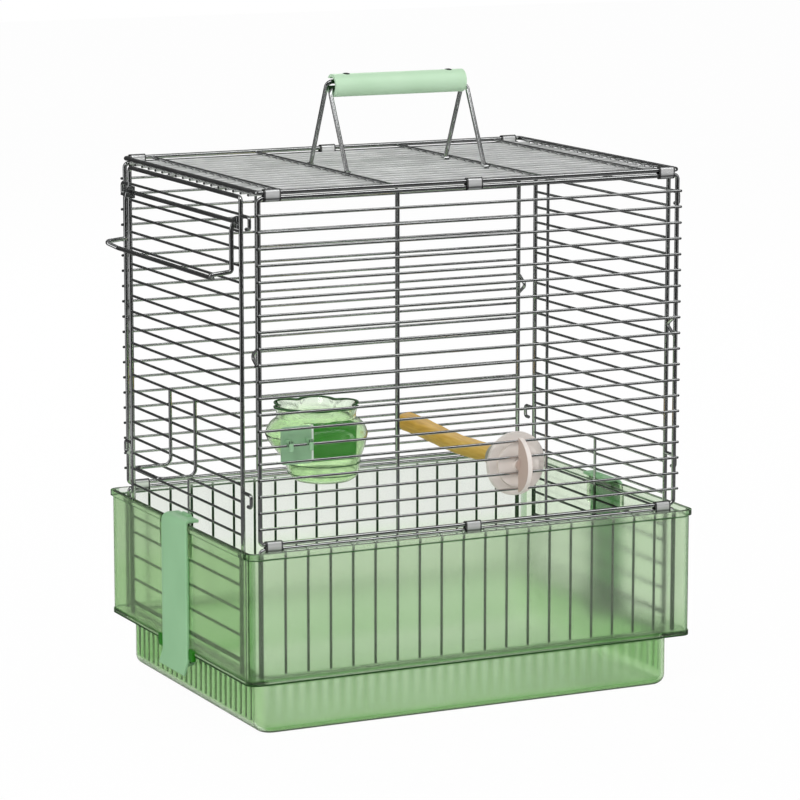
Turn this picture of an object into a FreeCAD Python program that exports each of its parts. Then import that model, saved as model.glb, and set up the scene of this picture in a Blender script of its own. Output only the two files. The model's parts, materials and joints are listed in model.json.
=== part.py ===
import FreeCAD, Part
import math
import os

from FreeCAD import Vector

# Folding bird travel cage, in millimetres.
# +X runs right along the front, +Y to the back, +Z up.
# The origin is the centre of the lower tray's underside.

# Wire gauges
FRAME_R = 1.5
BAR_R = 0.9
STIFFENER_R = 1.0
HOOK_R = 1.2
BEND = 3.0

# Cage of wire panels
CAGE_HALF_WIDTH = 153.6
CAGE_HALF_DEPTH = 113.5
PANEL_BOTTOM_Z = 127.5
PANEL_TOP_Z = 352.4
PANEL_BARS = 20
STIFFENER_X = 55.0
NOSE_REACH = 10.0
NOSE_HALF_HEIGHT = 6.0
NOSE_Z = 249.5
TOP_WIRES = 18
END_BAR_INSET = 20.6
SKIRT_WIRES = 18
SKIRT_END_GAP = 3.0

# Rolled sheet-metal hinge sleeves
SLEEVE_WALL = 0.6
SLEEVE_CLEARANCE = 0.3
SLEEVE_WIRE_GAP = 0.6
SLEEVE_END_GAP = 0.4

# Side panels, standing just outside the folding panels
SIDE_PLANE_GAP = 1.0
SIDE_POST_INSET = 18.5
SIDE_TOP_Z = 351.6
SIDE_SILL_RISE = 8.5
SIDE_LOW_BARS = 3
SIDE_LOW_PITCH = 16.7
SIDE_HIGH_BARS = 22
SIDE_STIFFENER_Z = 153.5
SEAT_GAP = 0.1
HOOK_REACH = 12.0
HOOK_DROP = 8.0
HOOK_RETURN = 5.0
HOOK_HIGH_Z = 340.0
HOOK_LOW_Z = 159.5
HOOK_BEND = 2.2

# Outside wire bracket on the left panel
BRACKET_HALF_WIDTH = 21.5
BRACKET_REACH = 26.0
BRACKET_TOP_Z = 208.5
BRACKET_LOOP_Z = 157.5
BRACKET_BEND = 5.0

# Lower tray
TRAY_SIDE_INSET = 10.8
TRAY_FRONT_INSET = 8.5
TRAY_HEIGHT = 36.0
TRAY_CORNER = 12.0
TRAY_WALL = 2.2
TRAY_FLOOR = 2.4
TRAY_FOOT_RADIUS = 7.0

# Upper surround, standing on the lower tray
SURROUND_SIDE_GAP = 3.7
SURROUND_FRONT_GAP = 2.2
SURROUND_HEIGHT = 87.5
SURROUND_CORNER = 7.0
SURROUND_WALL = 2.0
LEDGE_THICKNESS = 3.0
LEDGE_OVERHANG = 3.0
RIM_LIP = 1.8
RIM_HEIGHT = 3.6
FOOT_BEAD = 0.6
FOOT_BEAD_HEIGHT = 3.0
LOCATING_RIB_DEPTH = 4.0
LOCATING_RIB_WALL = 2.0
LOCATING_CLEARANCE = 0.5

# Side clips
CLIP_HALF_WIDTH = 21.5
CLIP_THICKNESS = 2.2
CLIP_WALL_GAP = 0.4
CLIP_NOTCH_GAP = 0.8
CLIP_RIM_GAP = 0.6
CLIP_TONGUE_THICKNESS = 2.6
CLIP_TONGUE_GAP = 0.9
CLIP_BEAD_R = 1.6
CLIP_CORNER = 8.0
CLIP_CHAMFER = 2.4
CLIP_TAIL_Z = 21.5
CLIP_TAIL_FLARE = 3.0
CLIP_TAIL_RISE = 2.0
PIN_R = 2.0
PIN_OFFSET = 6.2
PIN_DROP = 7.0
PIN_OVERHANG = 0.8
PIN_SEAT_CLEARANCE = 0.05
PIN_RUN_CLEARANCE = 0.1
LUG_HALF_WIDTH = 6.0
LUG_R = 4.3
EAR_WIDTH = 4.0
EAR_CLEARANCE = 0.3

# Carrying handle
HANDLE_WIRE_R = 1.5
HANDLE_FOOT_WIRE = 2.5
HANDLE_BEND = 4.0
HANDLE_LEG_GAP = 0.9
EYE_CLEARANCE = 0.3
EYE_WALL = 1.8
EYE_WIDTH = 3.4
GRIP_HALF_LENGTH = 49.0
GRIP_Z = 411.0
GRIP_R = 7.75
GRIP_BORE_R = 5.2
GRIP_BAR_Y = 2.0
GRIP_BAR_Z = 2.5
MOUTH_BELOW = 1.6
MOUTH_ABOVE = 0.7
STUD_X = 38.4
STUD_R = 2.6
STUD_SINK = 0.9

# Lock bail on the left panel
BAIL_WIRE_R = 1.5
BAIL_GAP_INDEX = 1.5
BAIL_POST_INSET = 4.2
BAIL_STANDOFF = 4.9
BAIL_EYE_WALL = 2.4
BAIL_BAR_Z = 298.5
BAIL_LOOP_RISE = 5.0
BAIL_LOOP_REACH = 15.5
BAIL_BAR_REACH = 9.5
BAIL_LOOP_INSET = 9.0
BAIL_BEND = 2.0
BAIL_SHOULDER = 5.0

# Perch
PERCH_X = 34.0
PERCH_GAP_INDEX = 3.5
DOWEL_R = 6.5
DOWEL_TIP_Y = 59.0
DOWEL_TIP_CHAMFER = 1.0
DOWEL_FIT = 0.1
DISC_R = 21.5
DISC_THICKNESS = 3.5
DISC_EDGE = 1.0
BOSS_R = 15.0
COLLAR_R = 9.5
COLLAR_LENGTH = 24.0
KEY_NECK_R = 3.9
KEY_NECK_SINK = 2.0
KEY_R = 19.3
KEY_THICKNESS = 3.6
PERCH_CLEARANCE = 0.4

# Feeder cup with a petal rim
CUP_PLATE_OFFSET = 51.5
CUP_BOTTOM_Z = 158.5
CUP_FOOT_R = 17.0
CUP_BELLY_R = 34.3
CUP_BELLY_HEIGHT = 30.0
CUP_NECK_R = 27.0
CUP_NECK_HEIGHT = 42.0
CUP_WALL = 1.8
CUP_PLATE_GAP = 0.1
PETALS = 6
PETAL_HEIGHT = 9.0
PETAL_ROOT_OFFSET = 6.0
PETAL_TIP_OFFSET = 17.0
PETAL_TIP_R = 13.5
HANGER_WIDTH = 32.0
HANGER_POST_INSET = 6.1
HANGER_THICKNESS = 2.0
HANGER_BAR = 6
HANGER_DROP = 13.5
HANGER_RISE = 11.5
HANGER_HOOK_WIDTH = 4.0
HANGER_HOOK_THICKNESS = 2.4
HANGER_HOOK_LIP = 5.0
HANGER_HOOK_INSET = 5.0
HANGER_CLEARANCE = 0.3
HANGER_BLOCK_WIDTH = 11.0
HANGER_BLOCK_HEIGHT = 14.0

# Values worked out from the sizes above
STACK = 2 * FRAME_R + SLEEVE_WIRE_GAP
TOP_FRAME_Z = PANEL_TOP_Z + STACK
SKIRT_TOP_Z = PANEL_BOTTOM_Z - STACK
TOP_WIRE_Z = TOP_FRAME_Z - FRAME_R - BAR_R
CROSS_BAR_Z = TOP_WIRE_Z + BAR_R + STIFFENER_R
BAR_PITCH = (PANEL_TOP_Z - PANEL_BOTTOM_Z) / (PANEL_BARS + 1)
BAR_PLANE = CAGE_HALF_DEPTH + FRAME_R + BAR_R
TOP_WIRE_PITCH = 2 * CAGE_HALF_DEPTH / (TOP_WIRES + 1)
END_BAR_X = CAGE_HALF_WIDTH - END_BAR_INSET
SKIRT_PITCH = 2 * CAGE_HALF_WIDTH / (SKIRT_WIRES + 1)
SIDE_X = CAGE_HALF_WIDTH + 2 * FRAME_R + SIDE_PLANE_GAP
SIDE_HALF_DEPTH = CAGE_HALF_DEPTH - SIDE_POST_INSET
SURROUND_HALF_WIDTH = SIDE_X + FRAME_R + SURROUND_SIDE_GAP + SURROUND_WALL
SURROUND_HALF_DEPTH = BAR_PLANE + BAR_R + SURROUND_FRONT_GAP + SURROUND_WALL
TRAY_HALF_WIDTH = SURROUND_HALF_WIDTH - TRAY_SIDE_INSET
TRAY_HALF_DEPTH = SURROUND_HALF_DEPTH - TRAY_FRONT_INSET
SURROUND_Z = TRAY_HEIGHT
LEDGE_Z = SURROUND_Z + LEDGE_THICKNESS
RIM_Z = SURROUND_Z + SURROUND_HEIGHT
SKIRT_FOOT_Z = LEDGE_Z + SKIRT_END_GAP
SIDE_BOTTOM_Z = LEDGE_Z + SIDE_SILL_RISE
SIDE_LOW_TOP_Z = SIDE_BOTTOM_Z + SIDE_LOW_BARS * SIDE_LOW_PITCH
SIDE_HIGH_PITCH = (SIDE_TOP_Z - SIDE_LOW_TOP_Z) / (SIDE_HIGH_BARS + 1)
PIN_X = TRAY_HALF_WIDTH + PIN_OFFSET
PIN_Z = TRAY_HEIGHT - PIN_DROP
HANDLE_FOOT_Y = HANDLE_FOOT_WIRE * TOP_WIRE_PITCH
HANDLE_LEG_X = GRIP_HALF_LENGTH + HANDLE_LEG_GAP + HANDLE_WIRE_R
BAIL_HALF_SPAN = SIDE_HALF_DEPTH - BAIL_POST_INSET
BAIL_ROD_Z = SIDE_TOP_Z - BAIL_GAP_INDEX * SIDE_HIGH_PITCH
HANGER_LEFT = -CAGE_HALF_WIDTH + HANGER_POST_INSET
CUP_X = HANGER_LEFT + CUP_PLATE_OFFSET
PERCH_Z = PANEL_BOTTOM_Z + PERCH_GAP_INDEX * BAR_PITCH

X_AXIS = Vector(1, 0, 0)
Y_AXIS = Vector(0, 1, 0)
Z_AXIS = Vector(0, 0, 1)


def rod(start, end, radius):
    """A straight round rod between two points."""
    first = Vector(*start)
    run = Vector(*end) - first
    return Part.makeCylinder(radius, run.Length, first, run)


def box(low, high):
    """A block between its lowest and highest corners."""
    size = Vector(*high) - Vector(*low)
    return Part.makeBox(size.x, size.y, size.z, Vector(*low))


def bent_path(points, bend):
    """Straight runs through the points, joined by tangent arcs."""
    places = [Vector(*point) for point in points]
    edges = []
    cursor = places[0]
    for before, corner, after in zip(places, places[1:], places[2:]):
        back = (before - corner).normalize()
        ahead = (after - corner).normalize()
        half_angle = back.getAngle(ahead) / 2
        setback = bend / math.tan(half_angle)
        middle = (back + ahead).normalize() * (bend / math.sin(half_angle) - bend)
        arc_start = corner + back * setback
        arc_end = corner + ahead * setback
        edges.append(Part.LineSegment(cursor, arc_start).toShape())
        edges.append(Part.Arc(arc_start, corner + middle, arc_end).toShape())
        cursor = arc_end
    edges.append(Part.LineSegment(cursor, places[-1]).toShape())
    return Part.Wire(edges)


def bent_wire(points, radius, bend):
    """Round wire bent along the points."""
    start = Vector(*points[0])
    heading = Vector(*points[1]) - start
    section = Part.Wire(Part.makeCircle(radius, start, heading))
    return bent_path(points, bend).makePipeShell([section], True, False)


def wire_loop(corners, radius, bend):
    """Closed frame of round wire through its corners, joined at the middle of its first side."""
    first = Vector(*corners[0])
    second = Vector(*corners[1])
    joint = tuple((first + second) * 0.5)
    return bent_wire([joint] + list(corners[1:]) + [corners[0], joint], radius, bend)


def ring(centre, axis, inner, outer, width):
    """A flat ring with its middle at the centre."""
    base = Vector(*centre) - axis * (width / 2)
    return Part.makeCylinder(outer, width, base, axis).cut(Part.makeCylinder(inner, width, base, axis))


def rounded_prism(half_width, half_depth, low, high, corner):
    """An upright prism with rounded vertical edges, centred on the Z axis."""
    prism = box((-half_width, -half_depth, low), (half_width, half_depth, high))
    upright = [edge for edge in prism.Edges if abs(edge.tangentAt(edge.FirstParameter).z) > 0.5]
    return prism.makeFillet(corner, upright)


def foot_edges(shape, level):
    """The edges that lie flat at one height."""
    flat = []
    for edge in shape.Edges:
        span = edge.BoundBox
        if max(abs(span.ZMax - level), abs(span.ZMin - level)) < 1e-4:
            flat.append(edge)
    return flat


def save(name, *solids):
    """Write one piece, or a group of separate like pieces."""
    shape = solids[0] if len(solids) == 1 else Part.makeCompound(list(solids))
    shape.exportStep("parts/" + name + ".step")


def lower_tray():
    tray = rounded_prism(TRAY_HALF_WIDTH, TRAY_HALF_DEPTH, 0, TRAY_HEIGHT, TRAY_CORNER)
    tray = tray.makeFillet(TRAY_FOOT_RADIUS, foot_edges(tray, 0))
    hollow = rounded_prism(
        TRAY_HALF_WIDTH - TRAY_WALL,
        TRAY_HALF_DEPTH - TRAY_WALL,
        TRAY_FLOOR,
        TRAY_HEIGHT + TRAY_FLOOR,
        TRAY_CORNER - TRAY_WALL,
    )
    hollow = hollow.makeFillet(TRAY_FOOT_RADIUS - TRAY_WALL, foot_edges(hollow, TRAY_FLOOR))
    tray = tray.cut(hollow)
    for side in (-1, 1):
        inner_x = side * (TRAY_HALF_WIDTH - TRAY_WALL / 2)
        low_x, high_x = sorted((inner_x, side * PIN_X))
        web = box((low_x, -LUG_HALF_WIDTH, PIN_Z - LUG_R), (high_x, LUG_HALF_WIDTH, PIN_Z + LUG_R))
        knuckle = rod((side * PIN_X, -LUG_HALF_WIDTH, PIN_Z), (side * PIN_X, LUG_HALF_WIDTH, PIN_Z), LUG_R)
        bore = rod(
            (side * PIN_X, -LUG_HALF_WIDTH, PIN_Z),
            (side * PIN_X, LUG_HALF_WIDTH, PIN_Z),
            PIN_R + PIN_SEAT_CLEARANCE,
        )
        tray = tray.fuse([web, knuckle]).cut(bore)
    return tray.removeSplitter()


def upper_surround():
    half_width, half_depth = SURROUND_HALF_WIDTH, SURROUND_HALF_DEPTH
    open_width = TRAY_HALF_WIDTH - LEDGE_OVERHANG
    open_depth = TRAY_HALF_DEPTH - LEDGE_OVERHANG
    body = rounded_prism(half_width, half_depth, SURROUND_Z, RIM_Z, SURROUND_CORNER)
    lip = rounded_prism(
        half_width + RIM_LIP, half_depth + RIM_LIP, RIM_Z - RIM_HEIGHT, RIM_Z, SURROUND_CORNER + RIM_LIP
    )
    bead = rounded_prism(
        half_width + FOOT_BEAD,
        half_depth + FOOT_BEAD,
        SURROUND_Z,
        SURROUND_Z + FOOT_BEAD_HEIGHT,
        SURROUND_CORNER + FOOT_BEAD,
    )
    hollow = rounded_prism(
        half_width - SURROUND_WALL, half_depth - SURROUND_WALL, LEDGE_Z, RIM_Z + RIM_LIP,
        SURROUND_CORNER - SURROUND_WALL,
    )
    mouth = rounded_prism(open_width, open_depth, 0, LEDGE_Z, TRAY_CORNER - LEDGE_OVERHANG)
    rib_width = TRAY_HALF_WIDTH - TRAY_WALL - LOCATING_CLEARANCE
    rib_depth = TRAY_HALF_DEPTH - TRAY_WALL - LOCATING_CLEARANCE
    rib_corner = TRAY_CORNER - TRAY_WALL - LOCATING_CLEARANCE
    rib_foot = SURROUND_Z - LOCATING_RIB_DEPTH
    rib = rounded_prism(rib_width, rib_depth, rib_foot, LEDGE_Z, rib_corner)
    rib_hole = rounded_prism(
        rib_width - LOCATING_RIB_WALL, rib_depth - LOCATING_RIB_WALL, rib_foot, LEDGE_Z,
        rib_corner - LOCATING_RIB_WALL,
    )
    shell = body.fuse([lip, bead]).cut(hollow).cut(mouth)
    notch = CLIP_HALF_WIDTH + CLIP_NOTCH_GAP
    for low_x, high_x in ((-half_width - RIM_LIP, -half_width), (half_width, half_width + RIM_LIP)):
        shell = shell.cut(box((low_x, -notch, SURROUND_Z), (high_x, notch, RIM_Z)))
    return shell.fuse(rib.cut(rib_hole)).removeSplitter()


def clip(side):
    """A side clip: strap, tongue over the rim, flared tail and two ears on the pin."""
    inner = SURROUND_HALF_WIDTH + CLIP_WALL_GAP
    outer = inner + CLIP_THICKNESS
    tip = SURROUND_HALF_WIDTH - SURROUND_WALL - CLIP_TONGUE_GAP
    under = RIM_Z + CLIP_RIM_GAP
    top = under + CLIP_TONGUE_THICKNESS
    elbow = PIN_Z + CLIP_TAIL_RISE
    outline = [
        (tip, under), (inner, under), (inner, elbow), (inner + CLIP_TAIL_FLARE, CLIP_TAIL_Z),
        (outer + CLIP_TAIL_FLARE, CLIP_TAIL_Z), (outer, elbow), (outer, top - CLIP_CHAMFER),
        (outer - CLIP_CHAMFER, top), (tip, top),
    ]
    corners = [Vector(side * out, -CLIP_HALF_WIDTH, up) for out, up in outline]
    strap = Part.Face(Part.makePolygon(corners + corners[:1])).extrude(Y_AXIS * (2 * CLIP_HALF_WIDTH))
    bead_x = side * (tip + CLIP_BEAD_R)
    bead = rod((bead_x, -CLIP_HALF_WIDTH, top), (bead_x, CLIP_HALF_WIDTH, top), CLIP_BEAD_R)
    near_x, far_x = sorted((side * tip, side * (outer + CLIP_TAIL_FLARE)))
    block = box((near_x, -CLIP_HALF_WIDTH, CLIP_TAIL_Z), (far_x, CLIP_HALF_WIDTH, top + CLIP_BEAD_R))
    shoulders = [edge for edge in foot_edges(block, top + CLIP_BEAD_R) if edge.BoundBox.YLength < CLIP_CORNER]
    strap = strap.fuse(bead).common(block.makeFillet(CLIP_CORNER, shoulders))
    pieces = []
    for ear_side in (-1, 1):
        near = ear_side * (LUG_HALF_WIDTH + EAR_CLEARANCE)
        far = near + ear_side * EAR_WIDTH
        low_x, high_x = sorted((side * PIN_X, side * (inner + CLIP_THICKNESS / 2)))
        low_y, high_y = sorted((near, far))
        pieces.append(box((low_x, low_y, PIN_Z - LUG_R), (high_x, high_y, PIN_Z + LUG_R)))
        pieces.append(rod((side * PIN_X, low_y, PIN_Z), (side * PIN_X, high_y, PIN_Z), LUG_R))
    reach = LUG_HALF_WIDTH + EAR_CLEARANCE + EAR_WIDTH + PIN_OVERHANG
    bore = rod((side * PIN_X, -reach, PIN_Z), (side * PIN_X, reach, PIN_Z), PIN_R + PIN_RUN_CLEARANCE)
    return strap.fuse(pieces).cut(bore).removeSplitter()


def clip_pin(side):
    reach = LUG_HALF_WIDTH + EAR_CLEARANCE + EAR_WIDTH + PIN_OVERHANG
    return rod((side * PIN_X, -reach, PIN_Z), (side * PIN_X, reach, PIN_Z), PIN_R)


def panel_frame(side):
    """The wire rectangle of the front (-1) or back (1) panel."""
    y = side * CAGE_HALF_DEPTH
    x, low, high = CAGE_HALF_WIDTH, PANEL_BOTTOM_Z, PANEL_TOP_Z
    corners = [(-x, y, low), (x, y, low), (x, y, high), (-x, y, high)]
    return wire_loop(corners, FRAME_R, BEND)


def panel_bars(side):
    reach = CAGE_HALF_WIDTH + FRAME_R
    levels = [PANEL_BOTTOM_Z + BAR_PITCH * (count + 1) for count in range(PANEL_BARS)]
    return [rod((-reach, side * BAR_PLANE, z), (reach, side * BAR_PLANE, z), BAR_R) for z in levels]


def panel_stiffeners(side):
    """Uprights behind the bars, between the top and bottom frame wires."""
    y = side * (BAR_PLANE - BAR_R - STIFFENER_R)
    low, high = PANEL_BOTTOM_Z + FRAME_R, PANEL_TOP_Z - FRAME_R
    return [rod((x, y, low), (x, y, high), STIFFENER_R) for x in (-STIFFENER_X, STIFFENER_X)]


def panel_noses(side):
    """A bent V of wire on each post, pointing towards the side panel."""
    root_y = side * (CAGE_HALF_DEPTH - FRAME_R - HOOK_R / 2)
    tip_y = side * (CAGE_HALF_DEPTH - FRAME_R - NOSE_REACH)
    post_y = side * CAGE_HALF_DEPTH
    high, low = NOSE_Z + NOSE_HALF_HEIGHT, NOSE_Z - NOSE_HALF_HEIGHT
    noses = []
    for x in (-CAGE_HALF_WIDTH, CAGE_HALF_WIDTH):
        nose = bent_wire([(x, root_y, high), (x, tip_y, NOSE_Z), (x, root_y, low)], HOOK_R, HOOK_BEND)
        post = rod((x, post_y, PANEL_BOTTOM_Z), (x, post_y, PANEL_TOP_Z), FRAME_R)
        noses.append(nose.cut(post))
    return noses


def skirt_frame(side):
    """The skirt's top wire, bent down at both ends to stand on the ledge."""
    y = side * CAGE_HALF_DEPTH
    foot = LEDGE_Z + SEAT_GAP
    bends = [
        (-CAGE_HALF_WIDTH, y, foot), (-CAGE_HALF_WIDTH, y, SKIRT_TOP_Z),
        (CAGE_HALF_WIDTH, y, SKIRT_TOP_Z), (CAGE_HALF_WIDTH, y, foot),
    ]
    return bent_wire(bends, FRAME_R, BEND)


def skirt_wires(side):
    places = [-CAGE_HALF_WIDTH + SKIRT_PITCH * (count + 1) for count in range(SKIRT_WIRES)]
    y = side * BAR_PLANE
    return [rod((x, y, SKIRT_FOOT_Z), (x, y, SKIRT_TOP_Z + BAR_R), BAR_R) for x in places]


def sleeves(side, lower_wire_z):
    """Three rolled sleeves that wrap two stacked wires, set between the skirt's wires."""
    inner = FRAME_R + SLEEVE_CLEARANCE
    free_end = CAGE_HALF_WIDTH - BEND - SLEEVE_END_GAP
    free_start = CAGE_HALF_WIDTH - SKIRT_PITCH + BAR_R + SLEEVE_END_GAP
    length = free_end - free_start
    y = side * CAGE_HALF_DEPTH

    def stadium(radius, x):
        low = rod((x, y, lower_wire_z), (x + length, y, lower_wire_z), radius)
        high = rod((x, y, lower_wire_z + STACK), (x + length, y, lower_wire_z + STACK), radius)
        web = box((x, y - radius, lower_wire_z), (x + length, y + radius, lower_wire_z + STACK))
        return low.fuse([high, web]).removeSplitter()

    starts = (-free_end, -length / 2, free_start)
    return [stadium(inner + SLEEVE_WALL, x).cut(stadium(inner, x)) for x in starts]


def top_frame():
    x, y, z = CAGE_HALF_WIDTH, CAGE_HALF_DEPTH, TOP_FRAME_Z
    return wire_loop([(-x, -y, z), (x, -y, z), (x, y, z), (-x, y, z)], FRAME_R, BEND)


def top_wires():
    reach = CAGE_HALF_WIDTH + FRAME_R
    places = [(count - (TOP_WIRES - 1) / 2) * TOP_WIRE_PITCH for count in range(TOP_WIRES)]
    return [rod((-reach, y, TOP_WIRE_Z), (reach, y, TOP_WIRE_Z), BAR_R) for y in places]


def top_cross_bars():
    reach = CAGE_HALF_DEPTH - FRAME_R
    places = (-END_BAR_X, -STIFFENER_X, STIFFENER_X, END_BAR_X)
    return [rod((x, -reach, CROSS_BAR_Z), (x, reach, CROSS_BAR_Z), STIFFENER_R) for x in places]


def side_frame(side):
    """Posts and top wire bent from one wire that stands on the ledge, with a sill between the posts."""
    x, y, foot = side * SIDE_X, SIDE_HALF_DEPTH, LEDGE_Z + SEAT_GAP
    bends = [(x, -y, foot), (x, -y, SIDE_TOP_Z), (x, y, SIDE_TOP_Z), (x, y, foot)]
    sill = rod((x, -y, SIDE_BOTTOM_Z), (x, y, SIDE_BOTTOM_Z), FRAME_R)
    return bent_wire(bends, FRAME_R, BEND).fuse(sill).removeSplitter()


def side_bars(side):
    """Bars between the posts, widely spaced in the tray and close above it."""
    reach = SIDE_HALF_DEPTH - FRAME_R
    levels = [SIDE_BOTTOM_Z + SIDE_LOW_PITCH * (count + 1) for count in range(SIDE_LOW_BARS)]
    levels += [SIDE_LOW_TOP_Z + SIDE_HIGH_PITCH * (count + 1) for count in range(SIDE_HIGH_BARS)]
    return [rod((side * SIDE_X, -reach, z), (side * SIDE_X, reach, z), BAR_R) for z in levels]


def side_stiffener(side):
    """A short upright inside the bars, from the bottom wire to just above the rim."""
    x = side * (SIDE_X - BAR_R - STIFFENER_R)
    return rod((x, 0, SIDE_BOTTOM_Z + FRAME_R), (x, 0, SIDE_STIFFENER_Z), STIFFENER_R)


def side_hooks(side):
    """J-shaped hooks on the posts, reaching past the front and back panels' posts."""
    x = side * SIDE_X
    hooks = []
    for end in (-1, 1):
        post = rod((x, end * SIDE_HALF_DEPTH, SIDE_BOTTOM_Z), (x, end * SIDE_HALF_DEPTH, SIDE_TOP_Z), FRAME_R)
        root_y = end * SIDE_HALF_DEPTH
        tip_y = end * (SIDE_HALF_DEPTH + FRAME_R + HOOK_REACH)
        curl_y = tip_y - end * HOOK_RETURN
        for level in (HOOK_HIGH_Z, HOOK_LOW_Z):
            bends = [(x, root_y, level), (x, tip_y, level), (x, tip_y, level - HOOK_DROP),
                     (x, curl_y, level - HOOK_DROP)]
            hooks.append(bent_wire(bends, HOOK_R, HOOK_BEND).cut(post))
    return hooks


def left_bracket():
    """A loop of wire outside the left panel's bars."""
    near = -(SIDE_X + BAR_R + HOOK_R)
    far = near - BRACKET_REACH
    half, top, low = BRACKET_HALF_WIDTH, BRACKET_TOP_Z, BRACKET_LOOP_Z
    bends = [(near, half, top), (near, half, low), (far, half, low), (far, -half, low), (near, -half, low),
             (near, -half, top)]
    return bent_wire(bends, HOOK_R, BRACKET_BEND)


def bail_rod():
    """A thicker wire between the left panel's posts, where the bail hangs."""
    reach = SIDE_HALF_DEPTH - FRAME_R
    return rod((-SIDE_X, -reach, BAIL_ROD_Z), (-SIDE_X, reach, BAIL_ROD_Z), FRAME_R)


def lock_bail():
    """A bail hung on the left panel's rod, with its bar bowed outwards between two loops."""
    hole = FRAME_R + EYE_CLEARANCE
    arm_x = -(SIDE_X + BAIL_STANDOFF)
    eye_out = hole + BAIL_EYE_WALL
    start_x = -(SIDE_X + hole + BAIL_WIRE_R + SEAT_GAP)
    loop_z = BAIL_BAR_Z + BAIL_LOOP_RISE
    span, inset = BAIL_HALF_SPAN, BAIL_HALF_SPAN - BAIL_LOOP_INSET
    half_path = [
        (start_x, span, BAIL_ROD_Z), (arm_x, span, BAIL_ROD_Z - BAIL_SHOULDER), (arm_x, span, loop_z),
        (arm_x - BAIL_LOOP_REACH, span, loop_z - BAIL_WIRE_R), (arm_x - BAIL_BAR_REACH, inset, BAIL_BAR_Z),
    ]
    other_half = [(x, -y, z) for x, y, z in reversed(half_path)]
    bail = bent_wire(half_path + other_half, BAIL_WIRE_R, BAIL_BEND)
    inner_face = -(SIDE_X - FRAME_R)
    for y in (-span, span):
        eye = ring((-SIDE_X, y, BAIL_ROD_Z), Y_AXIS, hole, eye_out, EYE_WIDTH)
        gap = box(
            (inner_face, y - EYE_WIDTH, BAIL_ROD_Z - eye_out),
            (-SIDE_X + eye_out, y + EYE_WIDTH, BAIL_ROD_Z + eye_out),
        )
        bail = bail.fuse(eye.cut(gap))
    return bail.removeSplitter()


def handle_bail(side):
    """One leg pair of the handle: eyes round a top wire, two legs and the bar inside the grip."""
    foot_y = side * HANDLE_FOOT_Y
    bar_y, bar_z = side * GRIP_BAR_Y, GRIP_Z + side * GRIP_BAR_Z
    hole = BAR_R + EYE_CLEARANCE
    rise = Vector(0, bar_y - foot_y, bar_z - TOP_WIRE_Z).normalize()
    start = rise * (hole + EYE_WALL / 2)
    x = HANDLE_LEG_X
    foot = (foot_y + start.y, TOP_WIRE_Z + start.z)
    bends = [(-x,) + foot, (-x, bar_y, bar_z), (x, bar_y, bar_z), (x,) + foot]
    bail = bent_wire(bends, HANDLE_WIRE_R, HANDLE_BEND)
    eyes = [ring((leg, foot_y, TOP_WIRE_Z), X_AXIS, hole, hole + EYE_WALL, EYE_WIDTH) for leg in (-x, x)]
    return bail.fuse(eyes).removeSplitter()


def handle_grip():
    """A split tube over the bars, open at the back where the rear bar leaves it."""
    ends = ((-GRIP_HALF_LENGTH, 0, GRIP_Z), (GRIP_HALF_LENGTH, 0, GRIP_Z))
    tube = rod(*ends, GRIP_R).cut(rod(*ends, GRIP_BORE_R))
    low = GRIP_Z + GRIP_BAR_Z - HANDLE_WIRE_R - MOUTH_BELOW
    high = GRIP_Z + GRIP_BAR_Z + HANDLE_WIRE_R + MOUTH_ABOVE
    return tube.cut(box((-GRIP_HALF_LENGTH, 0, low), (GRIP_HALF_LENGTH, 2 * GRIP_R, high)))


def grip_studs():
    """Low round studs on the grip's top."""
    tube = rod((-GRIP_HALF_LENGTH, 0, GRIP_Z), (GRIP_HALF_LENGTH, 0, GRIP_Z), GRIP_R)
    level = GRIP_Z + GRIP_R - STUD_SINK
    return [Part.makeSphere(STUD_R, Vector(x, 0, level)).cut(tube) for x in (-STUD_X, STUD_X)]


def perch_pieces():
    """The dowel, its holder inside the bars and the locking key outside them."""
    boss_y = -(BAR_PLANE - BAR_R) + PERCH_CLEARANCE
    disc_y = -(CAGE_HALF_DEPTH - FRAME_R) + PERCH_CLEARANCE
    back_y = disc_y + DISC_THICKNESS
    key_y = -(BAR_PLANE + BAR_R + PERCH_CLEARANCE)
    collar_end = back_y + COLLAR_LENGTH

    def along(radius, start, end):
        return rod((PERCH_X, start, PERCH_Z), (PERCH_X, end, PERCH_Z), radius)

    disc = along(DISC_R, disc_y, back_y)
    disc = disc.makeChamfer(DISC_EDGE, [edge for edge in disc.Edges if edge.Closed])
    holder = disc.fuse([along(BOSS_R, boss_y, disc_y), along(COLLAR_R, back_y, collar_end)])
    holder = holder.cut(along(DOWEL_R + DOWEL_FIT, back_y, collar_end)).removeSplitter()
    dowel = along(DOWEL_R, back_y + DOWEL_FIT, DOWEL_TIP_Y)
    tip = [edge for edge in dowel.Edges if edge.Closed and edge.BoundBox.YMin > DOWEL_TIP_Y - DOWEL_FIT]
    dowel = dowel.makeChamfer(DOWEL_TIP_CHAMFER, tip)
    half = KEY_THICKNESS / 2
    fin = rod((PERCH_X - half, disc_y, PERCH_Z), (PERCH_X + half, disc_y, PERCH_Z), KEY_R)
    fin = fin.cut(box(
        (PERCH_X - half, key_y, PERCH_Z - KEY_R), (PERCH_X + half, disc_y + KEY_R, PERCH_Z + KEY_R)
    ))
    key = fin.fuse(along(KEY_NECK_R, key_y - KEY_NECK_SINK, boss_y)).removeSplitter()
    return dowel, holder, key


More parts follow.
